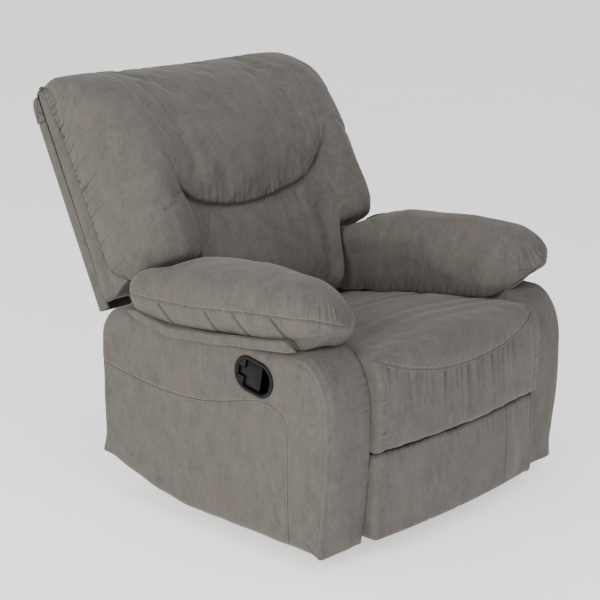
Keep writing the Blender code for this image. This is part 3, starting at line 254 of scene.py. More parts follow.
def stuffed(shape, rows, columns, wrap, pins, feel):  # fine grid with the simulated swelling of a coarse one
    fine = shape(rows, columns)
    if not feel.get("pressure"):
        return fine
    step = feel.get("step", 3)
    few, around = rows // step, columns // step
    coarse = shape(few, around)
    change = puff(coarse, wrap, pins(coarse), feel["pressure"], feel["cap"], feel.get("grow", 0.0))
    up = splineWeights(rows, few)
    over = splineWeights(columns, around, wrap)
    return fine + np.einsum("ij,jkc->ikc", up, np.einsum("kj,ijc->ikc", over, change))


# Materials

def linear(colour):  # sRGB hex to linear
    made = []
    for k in (0, 2, 4):
        c = int(colour[k:k + 2], 16) / 255
        made.append(c / 12.92 if c <= 0.04045 else ((c + 0.055) / 1.055) ** 2.4)
    return (*made, 1.0)


def addNode(tree, kind, settings, links):
    node = tree.nodes.new(kind)
    for key, value in settings.items():
        if isinstance(key, str) and key in node.bl_rna.properties:
            setattr(node, key, value)
        else:
            node.inputs[key].default_value = value
    for key, source in links.items():
        tree.links.new(source, node.inputs[key])
    return node


def newMaterial(name, settings):
    made = bpy.data.materials.new(name)
    made.use_nodes = True
    shader = made.node_tree.nodes["Principled BSDF"]
    for key, value in settings.items():
        shader.inputs[key].default_value = value
    return made, made.node_tree, shader


# colour that wanders between two tones
def mottled(tree, shader, dark, light, patches, low, high, stretch=(1.0, 1.0, 1.0)):
    place = addNode(tree, "ShaderNodeTexCoord", {}, {})
    drawn = addNode(tree, "ShaderNodeMapping", {"Scale": stretch}, {"Vector": place.outputs["Object"]})
    total = None
    for size, share, detail in patches:  # size in metres
        noise = addNode(tree, "ShaderNodeTexNoise", {"Scale": 1 / size, "Detail": detail, "Roughness": 0.6},
                        {"Vector": drawn.outputs[0]})
        if total is None:
            total = addNode(tree, "ShaderNodeMath", {"operation": 'MULTIPLY', 1: share},
                            {0: noise.outputs[0]})
        else:
            total = addNode(tree, "ShaderNodeMath", {"operation": 'MULTIPLY_ADD', 1: share},
                            {0: noise.outputs[0], 2: total.outputs[0]})
    spread = addNode(tree, "ShaderNodeMapRange", {"From Min": low, "From Max": high},
                     {"Value": total.outputs[0]})
    tone = addNode(tree, "ShaderNodeMix", {"data_type": 'RGBA', 6: linear(dark), 7: linear(light)},
                   {0: spread.outputs[0]})
    tree.links.new(tone.outputs[2], shader.inputs["Base Color"])
    return place, tone


# Microfibre suede: woven and sanded, its nap shows as lighter and darker strokes with a soft rim of sheen
# real nap is 0.3 mm, drawn coarser to show
# 1b1a18 is painted shade: the near-black that creases and seam grooves are darkened towards
suedeLook = dict(dark="494844", light="63605b", warm="625a55", foldShade="1b1a18", patchA=0.030, patchB=0.008,
                 grain=0.0021, hueSize=0.070, stroke=(1.0, 1.0, 0.55), nap=0.0030)


def makeSuede():
    look = suedeLook
    made, tree, shader = newMaterial("microfibre_suede",
                                     {"Roughness": 0.92, "Sheen Weight": 0.26, "Sheen Roughness": 0.42,
                                      "Specular IOR Level": 0.22})
    shader.inputs["Sheen Tint"].default_value = linear("d6d3cc")
    patches = ((look["patchA"], 0.36, 6.0), (look["patchB"], 0.32, 4.0), (look["grain"], 0.32, 2.0))
    place, tone = mottled(tree, shader, look["dark"], look["light"], patches, 0.36, 0.64, look["stroke"])
    hue = addNode(tree, "ShaderNodeTexNoise", {"Scale": 1 / look["hueSize"], "Detail": 3.0},
                  {"Vector": place.outputs["Object"]})
    share = addNode(tree, "ShaderNodeMapRange", {"From Min": 0.40, "From Max": 0.66, "To Max": 0.50},
                    {"Value": hue.outputs[0]})
    warm = addNode(tree, "ShaderNodeMix", {"data_type": 'RGBA', 7: linear(look["warm"])},
                   {0: share.outputs[0], 6: tone.outputs[2]})
    # painted shade: the per-point attribute darkens the colour towards the near-black in creases and seam
    # grooves
    foldShade = addNode(tree, "ShaderNodeAttribute", {"attribute_name": "foldShade"}, {})
    shade = addNode(tree, "ShaderNodeMix", {"data_type": 'RGBA', 7: linear(look["foldShade"])},
                    {0: foldShade.outputs["Fac"], 6: warm.outputs[2]})
    tree.links.new(shade.outputs[2], shader.inputs["Base Color"])
    nap = addNode(tree, "ShaderNodeTexNoise", {"Scale": 1 / look["nap"], "Detail": 3.0},
                  {"Vector": place.outputs["Object"]})
    bump = addNode(tree, "ShaderNodeBump", {"Strength": 0.30, "Distance": 0.0007}, {"Height": nap.outputs[0]})
    tree.links.new(bump.outputs[0], shader.inputs["Normal"])
    return made


suede = makeSuede()


def makeThread():  # bonded polyester thread, a shade paler than the suede
    made, tree, shader = newMaterial("polyester_thread", {"Roughness": 0.6, "Sheen Weight": 0.2})
    mottled(tree, shader, "726e68", "8b867f", ((0.004, 1.0, 2.0),), 0.35, 0.65)
    return made


thread = makeThread()


# ABS, injection moulded with a fine spark texture, satin black
def makeMoulded(name, dark, light, roughness):
    made, tree, shader = newMaterial(name, {"Roughness": roughness, "IOR": 1.53, "Specular IOR Level": 0.16})
    place, _ = mottled(tree, shader, dark, light, ((0.010, 0.7, 3.0), (0.0012, 0.3, 2.0)), 0.35, 0.65)
    grit = addNode(tree, "ShaderNodeTexNoise", {"Scale": 1 / 0.0009, "Detail": 2.0},
                   {"Vector": place.outputs["Object"]})
    bump = addNode(tree, "ShaderNodeBump", {"Strength": 0.10, "Distance": 0.0002},
                   {"Height": grit.outputs[0]})
    tree.links.new(bump.outputs[0], shader.inputs["Normal"])
    return made


blackAbs = makeMoulded("moulded_abs", "050505", "0b0b0a", 0.42)
glideNylon = makeMoulded("moulded_nylon", "1c1c1b", "2a2a28", 0.55)


def makeSteel(name, dark, light, roughness, metallic, scratch):  # rolled strip, its finish has faint streaks
    made, tree, shader = newMaterial(name, {"Metallic": metallic})
    place, _ = mottled(tree, shader, dark, light, ((0.035, 0.6, 4.0), (0.004, 0.4, 3.0)), 0.35, 0.65)
    turned = addNode(tree, "ShaderNodeMapping", {"Scale": (1.0, 0.06, 1.0)},
                     {"Vector": place.outputs["Object"]})
    streak = addNode(tree, "ShaderNodeTexNoise", {"Scale": 1 / 0.0016, "Detail": 3.0},
                     {"Vector": turned.outputs[0]})
    rough = addNode(tree, "ShaderNodeMapRange", {"To Min": roughness - 0.08, "To Max": roughness + 0.10},
                    {"Value": streak.outputs[0]})
    tree.links.new(rough.outputs[0], shader.inputs["Roughness"])
    bump = addNode(tree, "ShaderNodeBump", {"Strength": scratch, "Distance": 0.0002},
                   {"Height": streak.outputs[0]})
    tree.links.new(bump.outputs[0], shader.inputs["Normal"])
    return made


powderCoat = makeSteel("powder_coated_steel", "121213", "1b1b1c", 0.48, 0.0, 0.12)
zincSteel = makeSteel("zinc_plated_steel", "8d9092", "b4b7b8", 0.34, 1.0, 0.15)


def makePlywood():  # rotary cut plywood: long grain along y, toned darker than bare wood as painted shade
    made, tree, shader = newMaterial("plywood", {"Roughness": 0.72})
    place = addNode(tree, "ShaderNodeTexCoord", {}, {})
    long = addNode(tree, "ShaderNodeMapping", {"Scale": (1.0, 0.08, 1.0)},
                   {"Vector": place.outputs["Object"]})
    grain = addNode(tree, "ShaderNodeTexNoise", {"Scale": 1 / 0.007, "Detail": 5.0, "Distortion": 0.6},
                    {"Vector": long.outputs[0]})
    spread = addNode(tree, "ShaderNodeMapRange", {"From Min": 0.35, "From Max": 0.65},
                     {"Value": grain.outputs[0]})
    # the grain is the wood's own; both tones are darker than bare plywood, as painted shade, so the frame
    # seen in the gap by the near arm reads dark
    tone = addNode(tree, "ShaderNodeMix", {"data_type": 'RGBA', 6: linear("6a5238"), 7: linear("8d7150")},
                   {0: spread.outputs[0]})
    tree.links.new(tone.outputs[2], shader.inputs["Base Color"])
    bump = addNode(tree, "ShaderNodeBump", {"Strength": 0.15, "Distance": 0.0004},
                   {"Height": grain.outputs[0]})
    tree.links.new(bump.outputs[0], shader.inputs["Normal"])
    return made


plywood = makePlywood()
print("materials made")


def dress(piece, body, nodes=(), look=suede):
    piece.data.materials.clear()
    piece.data.materials.append(look)
    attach(piece, body)
    if nodes:
        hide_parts(*nodes)
    return piece


sewing = {}  # stitch lines of each cover, filled as the covers are made


def seamPath(points, field, mask, across):  # where a field changes sign, a point for each row, or column
    if across:
        points, field, mask = points.swapaxes(0, 1), field.T, mask.T
    found = []
    for line, value, ok in zip(points, field, mask):
        flips = np.nonzero((value[:-1] * value[1:] <= 0) & ok[:-1])[0]
        if len(flips):
            k = flips[0]
            f = value[k] / (value[k] - value[k + 1] + 1e-12)
            found.append(line[k] + (line[k + 1] - line[k]) * f)
    return np.array(found)


# Loft along x: closed outlines from end to end, rounded at both ends and closed over the end faces

def stations(half, edge, face, count):  # (offset, share of the outline, inset) from one end to the other
    turn = np.linspace(0, math.pi / 2, 24)
    outline = [(half, share, edge) for share in np.linspace(0, 1, 30)]  # the end face
    outline += [(half - edge + edge * math.cos(a), 1.0, edge * (1 - math.sin(a))) for a in turn[1:]]
    outline += [(x, 1.0, 0.0) for x in np.linspace(half - edge, 0, 40)[1:]]
    outline = np.array(outline)
    size = outline * np.array((1.0, face, 1.0))
    run = np.concatenate([[0], np.cumsum(np.linalg.norm(np.diff(size, axis=0), axis=1))])
    run = np.concatenate([run, 2 * run[-1] - run[-2::-1]])
    other = outline[-2::-1] * np.array((-1.0, 1.0, 1.0))
    outline = np.vstack([outline, other])
    at = np.linspace(0, run[-1], count)
    return np.stack([np.interp(at, run, outline[:, k]) for k in range(3)], -1)


def loft(section, middle, half, edge, face, rows, columns):
    made = np.zeros((rows, columns, 3))
    for i, (x, share, inset) in enumerate(stations(half, edge, face, rows)):
        loop = section(x / half, columns)
        loop = loop + loopNormals(loop) * inset
        loop = middle + (loop - middle) * share
        made[i, :, 0] = x
        made[i, :, 1:] = loop
    return made


# Seat cushion with a waterfall front, a curved seam across it and an apron below

seat = dict(half=0.3025, rear=0.080, bottom=0.3838, apron=0.2595, apronRear=-0.448, edge=0.011,
            pressure=4.0, cap=0.024, grow=-0.03, rows=220, columns=420, step=3, seamEnd=0.475,
            seamMiddle=0.412, seamDepth=0.0022, pleat=0.0030, finePleat=0.0009, puckerDepth=0.0015,
            dish=0.0025, dragLine=0.0017, hang=0.0016, welt=0.0020, plump=0.003, endSeam=0.0020)


def seatSection(a, count):
    b = 1 - min(1.0, abs(a)) ** 2
    corners = [(seat["rear"], seat["bottom"], 0.012), (seat["rear"], 0.409 + 0.012 * b, 0.024),
               (-0.10, 0.440 + 0.015 * b, 0.30), (-0.30, 0.468 + 0.017 * b, 0.30),
               (-0.512 - 0.0085 * b, 0.480 + 0.018 * b, 0.085), (-0.521 - 0.014 * b, 0.37, 0.12),
               (-0.513 - 0.022 * b, seat["apron"], 0.020), (seat["apronRear"], seat["apron"], 0.010),
               (seat["apronRear"], seat["bottom"], 0.006)]
    return roundedLoop(corners, count)


def seatSeamHeight(x):
    return seat["seamMiddle"] + (seat["seamEnd"] - seat["seamMiddle"]) * (np.abs(x) / seat["half"]) ** 2.2


def makeSeat():
    middle = np.array((-0.485, 0.425))

    def shape(rows, columns):
        return loft(seatSection, middle, seat["half"], seat["edge"], 0.05, rows, columns)

    def pins(points):
        x, y, z = np.moveaxis(points, -1, 0)
        under = (z < seat["bottom"] + 0.004) & (y > -0.47)
        sides = np.abs(x) > seat["half"] - 0.002
        seam = (np.abs(z - seatSeamHeight(x)) < 0.007) & (y < -0.44)
        low = z < seat["apron"] + 0.012
        return np.where(under | sides | seam | low, 1.0, 0.0)

    points = stuffed(shape, seat["rows"], seat["columns"], True, pins, seat)
    x, y, z = np.moveaxis(points, -1, 0)
    out = outward(points, True)
    away = z - seatSeamHeight(x)
    inset = seat["half"] - np.abs(x)
    front = smoothStep(-y, 0.40, 0.47) * smoothStep(inset, 0.006, 0.034)
    seam = bell(away, 0.0035) * front
    below = smoothStep(-away, 0.0, 0.012) * front
    fade = np.exp(np.minimum(0, away) / (0.050 + 0.028 * ripple(x, 0.11, 3)))
    pleats = ripple(x + 0.04 * away, 0.026, 7) * seat["pleat"] + ripple(x, 0.011, 8) * seat["finePleat"]
    pleats = pleats * below * fade * (0.4 + 0.6 * bell(x - 0.06, 0.13))  # deepest right of the middle
    above = smoothStep(away, 0.0, 0.010) * np.exp(-np.maximum(0, away) / 0.035) * front
    tucks = ripple(x, 0.019, 12) * seat["puckerDepth"] * above
    top = smoothStep(out[..., 2], 0.5, 0.9)
    drift = wander(points, 0.16, 4) * seat["dish"] + ripple(y + 0.25 * x * x, 0.07, 5) * seat["dragLine"]
    drift = drift * top
    hang = wander(points * np.array((1, 1, 0.25)), 0.07, 6) * seat["hang"] * front
    welt = gathered(z, 0.021, 13) * seat["welt"] * bell(inset - 0.014, 0.013) * smoothStep(-y, 0.47, 0.50)
    plump = seat["plump"] * bell(away - 0.02, 0.018) * front  # fuller just above the seam
    endSeam = seat["endSeam"] * bell(inset - 0.030, 0.004) * front
    move = -seat["seamDepth"] * seam + pleats + tucks + drift + hang + plump
    move = (move - endSeam) * smoothStep(inset, 0.0, 0.02) + welt
    points = points + out * move[..., None]
    # painted shade in the seam groove and in the creases of the pleats and the welt
    deep = np.clip(-pleats / 0.004, 0, 0.35) + np.clip(-welt / 0.004, 0, 0.5)
    foldShade = np.clip(0.22 * bell(away, 0.0022) * front + deep, 0, 1)
    sewn = (y < -0.42) & (inset > 0.020)
    sewing["seat_cushion_cover"] = [seamPath(points, away - step, sewn, False) for step in (0.0050, -0.0050)]
    return dress(gridObject("seat_cushion_cover", points, True, foldShade), "seat", ["seat_cushion"])


seatCover = makeSeat()
print("seat cushion done")


# Footrest pad

footPad = dict(half=0.3025, low=0.0500, high=0.2560, rear=-0.4453, front=-0.508, bulge=0.024, edge=0.016,
               pressure=3.0, cap=0.012, rows=230, columns=190, step=3, seams=(0.166,), hang=0.0022,
               topPleat=0.0013, sidePleat=0.0016, foldDepth=0.0016, seamDepth=0.0022, piping=0.0030)


def makeFootPad():
    p = footPad

    def section(a, count):
        b = 1 - min(1.0, abs(a)) ** 2
        nose = p["front"] - p["bulge"] * b
        edge = p["front"] - p["bulge"] * b * 0.75
        return roundedLoop([(p["rear"], p["low"], 0.006), (p["rear"], p["high"], 0.006),
                            (edge, p["high"], 0.012), (nose, (p["low"] + p["high"]) / 2, 0.2),
                            (edge, p["low"], 0.016)], count)

    def shape(rows, columns):
        return loft(section, np.array((-0.475, 0.152)), p["half"], p["edge"], 0.04, rows, columns)

    def pins(points):
        x, y = points[..., 0], points[..., 1]
        seam = np.min([np.abs(x - k) for k in p["seams"]], axis=0) < 0.004
        return np.where((y > -0.462) | (np.abs(x) > p["half"] - 0.002) | seam, 1.0, 0.0)

    points = stuffed(shape, p["rows"], p["columns"], True, pins, p)
    x, y, z = np.moveaxis(points, -1, 0)
    out = outward(points, True)
    front = smoothStep(-y, 0.46, 0.50)
    rise = (z - p["low"]) / (p["high"] - p["low"])
    hang = wander(points * np.array((1, 1, 0.12)), 0.055, 21) * p["hang"] * front
    hang = hang * smoothStep(rise, 0.02, 0.20)
    top = ripple(x, 0.022, 22) * p["topPleat"] * front * smoothStep(rise, 0.55, 0.95)
    inset = p["half"] - np.abs(x)
    nearSide = np.exp(-inset / 0.016) * smoothStep(inset, 0.004, 0.012)
    side = gathered(z - 0.7 * inset, 0.017, 23) * p["sidePleat"] * front * nearSide
    for place, deep in ((-0.12, 1.0), (-0.014, 0.8)):  # two faint upright folds
        hang = hang - p["foldDepth"] * deep * bell(x - place - 0.012 * rise, 0.006) * front
    seam = np.max([bell(x - k, 0.0030) for k in p["seams"]], axis=0) * front
    piping = bell(p["half"] - 0.014 - x, 0.004) * front
    move = hang + top + side - p["seamDepth"] * seam + p["piping"] * piping
    points = points + out * move[..., None]
    # painted shade in the seam groove and in the creases of the side pleats
    foldShade = np.clip(0.22 * seam + np.clip(-side / 0.003, 0, 0.5), 0, 1)
    sewn = (y < -0.49)
    sewing["footrest_pad_cover"] = [seamPath(points, x - p["seams"][0] - 0.005, sewn, True)]
    return dress(gridObject("footrest_pad_cover", points, True, foldShade), "footrest", ["foot_pad"])


makeFootPad()
print("footrest pad done")


# Arms: one upholstered box each, with a lip of cloth under the pillow

arm = dict(inner=0.3048, outer=0.4425, low=0.041, top=0.4948, frontY=-0.470, bulge=0.022, wave=0.574,
           roundY=0.086, roundZ=0.135, rearY=0.258, rearRoundY=0.095, rearRoundZ=0.085, sweepY=-0.05,
           sweepRise=0.07, sweepPower=1.6, edge=0.026, rows=150, columns=500, welt=math.radians(48),
           crown=0.0030, waver=0.0022, fineWaver=0.0006, seamDepth=0.0015, seamCrest=0.0010, edging=0.0014,
           tuckDepth=0.0024, hang=0.0018)
armSeam = softLine([(0.256, 0.350), (0.207, 0.342), (0.063, 0.326), (-0.047, 0.325), (-0.150, 0.337),
                    (-0.271, 0.366), (-0.336, 0.365), (-0.369, 0.343), (-0.377, 0.297), (-0.377, 0.20),
                    (-0.376, 0.12), (-0.376, 0.046)], 90)


def lineDistance(y, z, line):
    best = np.full(np.shape(y), 9.0)
    for (ya, za), (yb, zb) in zip(line[:-1], line[1:]):
        length = (yb - ya) ** 2 + (zb - za) ** 2 + 1e-12
        f = np.clip(((y - ya) * (yb - ya) + (z - za) * (zb - za)) / length, 0, 1)
        best = np.minimum(best, np.hypot(y - ya - f * (yb - ya), z - za - f * (zb - za)))
    return best


def armOutline(count):
    p = arm
    bulgeTop = p["top"] - p["roundZ"]
    span = bulgeTop - p["low"]

    def front(z):
        return p["frontY"] - p["bulge"] * np.sin(p["wave"] * np.pi * (z - p["low"]) / span)

    line = [(front(p["low"]), p["low"])]
    for y in np.linspace(p["frontY"] + 0.02, p["rearY"], 40):
        share = max(0.0, (y - p["sweepY"]) / (p["rearY"] - p["sweepY"]))
        line.append((y, p["low"] + p["sweepRise"] * share ** p["sweepPower"]))
    for a in np.linspace(0, np.pi / 2, 20):
        y = p["rearY"] - p["rearRoundY"] * (1 - np.cos(a))
        line.append((y, p["top"] - p["rearRoundZ"] * (1 - np.sin(a))))
    tip = front(bulgeTop)
    for a in np.linspace(0, np.pi / 2, 24):
        line.append((tip + p["roundY"] * (1 - np.sin(a)), p["top"] - p["roundZ"] * (1 - np.cos(a))))
    for z in np.linspace(bulgeTop, p["low"], 24)[1:-1]:
        line.append((front(z), z))
    return evenly(np.array(line), count, True)


# lower edge of the lip, sagging between its ends
lipLow = through([(-0.470, 0.513), (-0.375, 0.501), (-0.250, 0.485), (-0.127, 0.471), (-0.017, 0.462),
                  (0.060, 0.468), (0.124, 0.484), (0.165, 0.496)])


def makeArm(hand, side):
    p = arm
    loop = armOutline(p["columns"])
    inward = loopNormals(loop)
    middle = np.array((-0.10, 0.27))
    turn = np.linspace(0, math.pi / 2, 18)
    path = [(x, 0.0, 1.0, 0.0) for x in np.linspace(p["inner"], p["outer"] - p["edge"], 22)]
    path += [(p["outer"] - p["edge"] * (1 - math.sin(a)), p["edge"] * (1 - math.cos(a)), 1.0, a)
             for a in turn[1:]]
    left = np.linspace(1, 0, p["rows"] - len(path) + 1)[1:]
    path += [(p["outer"], p["edge"], share, math.pi / 2) for share in left]
    sharp = (loop[0], (p["rearY"], p["low"] + p["sweepRise"]))
    corners = np.minimum(*[np.hypot(loop[:, 0] - y, loop[:, 1] - z) for y, z in sharp])
    inward = inward * (0.2 + 0.8 * smoothStep(corners, 0.0, 0.05))[:, None]  # sharp corners keep their cloth
    points = np.zeros((p["rows"], p["columns"], 3))
    for i, (x, inset, share, _) in enumerate(path):
        points[i, :, 0] = x
        points[i, :, 1:] = middle + (loop + inward * inset - middle) * share
    x, y, z = np.moveaxis(points, -1, 0)
    out = outward(points, True, row=16)  # a row on the flat of the top and sides
    seedShift = 40 if side < 0 else 50
    face = smoothStep(x, p["outer"] - 0.012, p["outer"] - 0.001)
    border = np.minimum(np.minimum(y + 0.47, 0.25 - y), np.minimum(z - 0.05, 0.50 - z))  # flat under the lip
    crown = p["crown"] * smoothStep(border, 0.0, 0.12) * face
    soft = wander(points, 0.20, seedShift) * p["waver"] * face * smoothStep(border, 0.0, 0.08)
    soft = soft + wander(points, 0.06, seedShift + 1) * p["fineWaver"]
    away = lineDistance(y, z, armSeam)
    seam = bell(away, 0.0034) * face
    beside = bell(away - 0.011, 0.008) * face
    angle = np.array([a for *_, a in path])[:, None]
    arc = p["edge"] * (angle - p["welt"])
    ahead = smoothStep(-loop[:, 0], 0.375, 0.41)[None, :] * smoothStep(loop[:, 1], 0.045, 0.06)[None, :]
    onArc = (angle > 0) * (angle < 1.57)
    edging = (bell(arc, 0.0024) - 0.6 * bell(np.abs(arc) - 0.0062, 0.0022)) * ahead * onArc
    front = smoothStep(-out[..., 1], 0.5, 0.9)
    seatSide = np.exp(-(x - p["inner"]) / 0.022)
    tuck = gathered(z, 0.019, seedShift + 2) * p["tuckDepth"] * front * seatSide * smoothStep(z, 0.22, 0.40)
    hang = wander(points * np.array((1, 1, 0.3)), 0.09, seedShift + 3) * p["hang"] * front
    move = crown + soft - p["seamDepth"] * seam + p["seamCrest"] * beside + p["edging"] * edging
    move = (move + tuck + hang) * smoothStep(x, p["inner"], p["inner"] + 0.004)
    if side < 0:  # flat round the release cup, so that its flange lies on the cloth
        fromCup = np.hypot((y - cup["y"]) / 0.075, (z - cup["z"]) / 0.055)
        move = move * smoothStep(fromCup, 1.0, 1.6)
    points = points + out * move[..., None]
    # painted shade in the seam groove, beside the edge welt and in the creases of the tucks by the seat
    foldShade = np.clip(0.20 * seam + np.clip(-0.2 * edging, 0, 0.2) + np.clip(-tuck / 0.005, 0, 0.4), 0, 1)
    points[..., 0] *= side
    way = np.gradient(armSeam, axis=0)
    square = np.stack([-way[:, 1], way[:, 0]], -1) / np.linalg.norm(way, axis=1, keepdims=True)
    edgeRow = int(np.argmin(np.abs(arc[:, 0])))
    edgeColumns = [k for k in np.nonzero(ahead[0] > 0.5)[0] if k > p["columns"] // 2]
    lines = [np.concatenate([np.full((len(armSeam), 1), side * (p["outer"] + 0.003)),
                             armSeam + square * step], 1) for step in (0.0036, -0.0036)]
    sewing["arm_upholstery_" + hand] = lines + [points[edgeRow + 2, edgeColumns]]
    return gridObject("arm_upholstery_" + hand, points, True, foldShade)


cup = dict(y=-0.272, z=0.422, tilt=11.0, halfLength=0.055, halfHeight=0.037, wall=0.004, depth=0.034,
           flange=0.005, proud=0.003, face=0.4428, pivot=0.024, blade=0.020, heel=0.0033, stem=0.018,
           stemHalf=0.010, sink=0.002, thick=0.004)


def cupPoint(along, across):
    a = math.radians(cup["tilt"])
    c, s = math.cos(a), math.sin(a)
    return cup["y"] + along * c - across * s, cup["z"] + along * s + across * c


def cupLoop(grow, count=96):
    half = cup["halfHeight"] + grow
    straight = cup["halfLength"] - cup["halfHeight"]
    dense = []
    for k in range(count * 2):
        a = 2 * math.pi * (k + 0.5) / (count * 2)
        dense.append(cupPoint(half * math.cos(a) + math.copysign(straight, math.cos(a)), half * math.sin(a)))
    return evenly(dense, count, True)


def cutWindow(piece, loop, start, end):  # opening through the cloth for the release cup
    rows = np.zeros((2, len(loop), 3))
    for i, x in enumerate((start, end)):
        rows[i, :, 0] = x
        rows[i, :, 1:] = loop
    cutter = gridObject("cupWindow", rows, True)
    step = piece.modifiers.new("window", 'BOOLEAN')
    step.operation = 'DIFFERENCE'
    step.solver = 'EXACT'
    step.object = cutter
    seen = piece.evaluated_get(bpy.context.evaluated_depsgraph_get())
    mesh = bpy.data.meshes.new_from_object(seen)
    piece.modifiers.clear()
    piece.data = mesh
    bpy.data.objects.remove(cutter)


for hand, side in sides:
    piece = makeArm(hand, side)
    if side < 0:
        cutWindow(piece, cupLoop(0.0006), -0.40, -0.47)
    dress(piece, "chassis", ["arm_cover_" + hand])
print("arm boxes done")

lip = dict(startY={"left": -0.366, "right": -0.398}, endY=0.150, height=0.024, thick=0.0105, rows=170,
           columns=44)


def makeLip(hand, side):  # doubled band of cloth between the pillow and the arm box
    p = lip
    startY = p["startY"][hand]
    points = np.zeros((p["rows"], p["columns"], 3))
    for i, y in enumerate(np.linspace(startY, p["endY"], p["rows"])):
        ends = min(1.0, (y - startY) / 0.020, (p["endY"] - y) / 0.060)
        taper = max(0.001, math.sin(ends * math.pi / 2))
        low = float(lipLow(y))
        high = low + p["height"] * taper
        loop = roundedLoop([(-0.004, low + 0.002, 0.002), (p["thick"] * taper, low, 0.004),
                            (p["thick"] * 0.85 * taper, high, 0.004), (-0.004, high, 0.002)], p["columns"])
        points[i, :, 0] = (arm["outer"] + 0.0008 + loop[:, 0]) * side
        points[i, :, 1] = y + 0.010 * (loop[:, 1] - low) / p["height"] * bell(y - startY, 0.05)
        points[i, :, 2] = loop[:, 1]
    points[..., 0] += wander(points, 0.05, 61) * 0.0010 * side
    points[..., 2] += wander(points, 0.09, 62) * 0.0012
    return gridObject("arm_lip_" + hand, points, True)


for hand, side in sides:
    dress(makeLip(hand, side), "chassis")
print("arm lips done")


# Arm pillows: a domed top panel over a low side panel

pillow = dict(inner=0.250, outer=0.457, ridge=0.352, frontY=-0.467, rearY=0.160, base=0.4957, nose=0.112,
              tail=0.085, tip=0.556, widest=0.550, shoulder=0.050, overSeat=0.0015,
              footX=(0.264, 0.275, 0.286, 0.296), pressure=2.6, cap=0.022, grow=-0.02, rows=250,
              columns=270, step=3, seamDepth=0.0030, crease=0.0042, crest=0.0024, pull=0.0011,
              gather=0.0034, noseFan=0.0026, crossSeam=0.0016, waver=0.0028, fineWaver=0.0007)
pillowTop = through([(-0.470, 0.636), (-0.420, 0.640), (-0.360, 0.645), (-0.280, 0.648), (-0.200, 0.648),
                     (-0.100, 0.641), (0.000, 0.627), (0.100, 0.606), (0.160, 0.596)])
pillowSeam = through([(-0.470, 0.578), (-0.380, 0.579), (-0.280, 0.571), (-0.200, 0.562), (-0.100, 0.550),
                      (0.020, 0.543), (0.120, 0.540), (0.160, 0.539)])
pillowEdge = through([(-0.470, 0.540), (-0.375, 0.528), (-0.250, 0.511), (-0.127, 0.498), (-0.017, 0.4895),
                      (0.060, 0.4885), (0.120, 0.490), (0.160, 0.492)])


# height of the seat cushion's top under the pillows' inner sides, for each place across it
def seatHeights():
    tree = BVHTree.FromObject(seatCover, bpy.context.evaluated_depsgraph_get())
    made = []
    for x in pillow["footX"]:
        found = []
        for y in np.linspace(-0.485, 0.07, 30):
            starts = [Vector((side * x, y + shiftY, 0.8)) for side in (-1, 1)]
            hits = [tree.ray_cast(start, Vector((0, 0, -1)))[0] for start in starts]
            found.append((y, max(hit.z for hit in hits if hit)))
        found.append((0.16, found[-1][1] - 0.012))
        made.append(through(found))
    return made


seatTops = seatHeights()


def pillowLimit(x, y):  # plane under the lower ends of the back bolsters, outside them the pillow stands up
    return 0.5121 + (0.2445 - y) * 0.4770 + pillow["shoulder"] * smoothStep(x, 0.404, 0.428)


def pillowSection(y, count):
    p = pillow
    n = min(1.0, max(0.0, (y - p["frontY"]) / p["nose"]))
    r = min(1.0, max(0.0, (p["rearY"] - y) / p["tail"]))
    wide = (1 - (1 - n) ** 2.1) ** (1 / 2.1) * (1 - (1 - r) ** 3) ** (1 / 3)
    high = (1 - (1 - n) ** 2) ** 0.5 * (1 - (1 - r) ** 2.2) ** (1 / 2.2)
    top, seam, edge = float(pillowTop(y)), float(pillowSeam(y)), float(pillowEdge(y))
    lead = float(smoothStep(-y, 0.10, 0.36))  # ahead, the ridge moves out and the inner side slopes down
    ridge = p["ridge"] + 0.024 * lead
    widest = p["widest"] - 0.037 * lead
    feet = [min(p["base"] - 0.004, float(top(y)) + p["overSeat"]) for top in seatTops]
    foot = feet[0]
    line = []
    for a in np.linspace(0, math.pi, 61):
        c, s = math.cos(a), math.sin(a)
        reach = p["outer"] - ridge if c > 0 else ridge - p["inner"]
        side = seam if c > 0 else widest
        bend = 0.86 if c > 0 else 0.86 + 0.62 * lead
        line.append((ridge + reach * math.copysign(abs(c) ** 0.74, c), side + (top - side) * s ** bend))
    drop = widest - foot
    line += [(p["inner"] + 0.0015, foot + 0.72 * drop), (p["inner"] + 0.0045, foot + 0.40 * drop),
             (p["inner"] + 0.009, foot + 0.14 * drop)]
    line += list(zip(p["footX"], feet))
    line += [(0.3022, feet[-1] + 0.001), (0.3036, feet[-1] + 0.004), (0.3036, p["base"] - 0.002),
             (0.3070, p["base"]), (0.410, p["base"]), (0.424, max(p["base"], edge - 0.004)), (0.4345, edge),
             (0.4405, edge + 0.003), (p["outer"] - 0.0075, edge + 0.38 * (seam - edge)),
             (p["outer"] - 0.0018, edge + 0.72 * (seam - edge))]
    loop = evenly(np.array(line), count, True)
    tip = p["tip"] - 0.052 * smoothStep(ridge - loop[:, 0], -0.03, 0.05) * min(1.0, 1.8 * wide) * (1 - n)
    loop[:, 1] = tip + (loop[:, 1] - tip) * high
    loop[:, 0] = p["ridge"] + (loop[:, 0] - p["ridge"]) * wide
    loop[:, 1] = np.minimum(loop[:, 1], pillowLimit(loop[:, 0], y))
    return loop, n


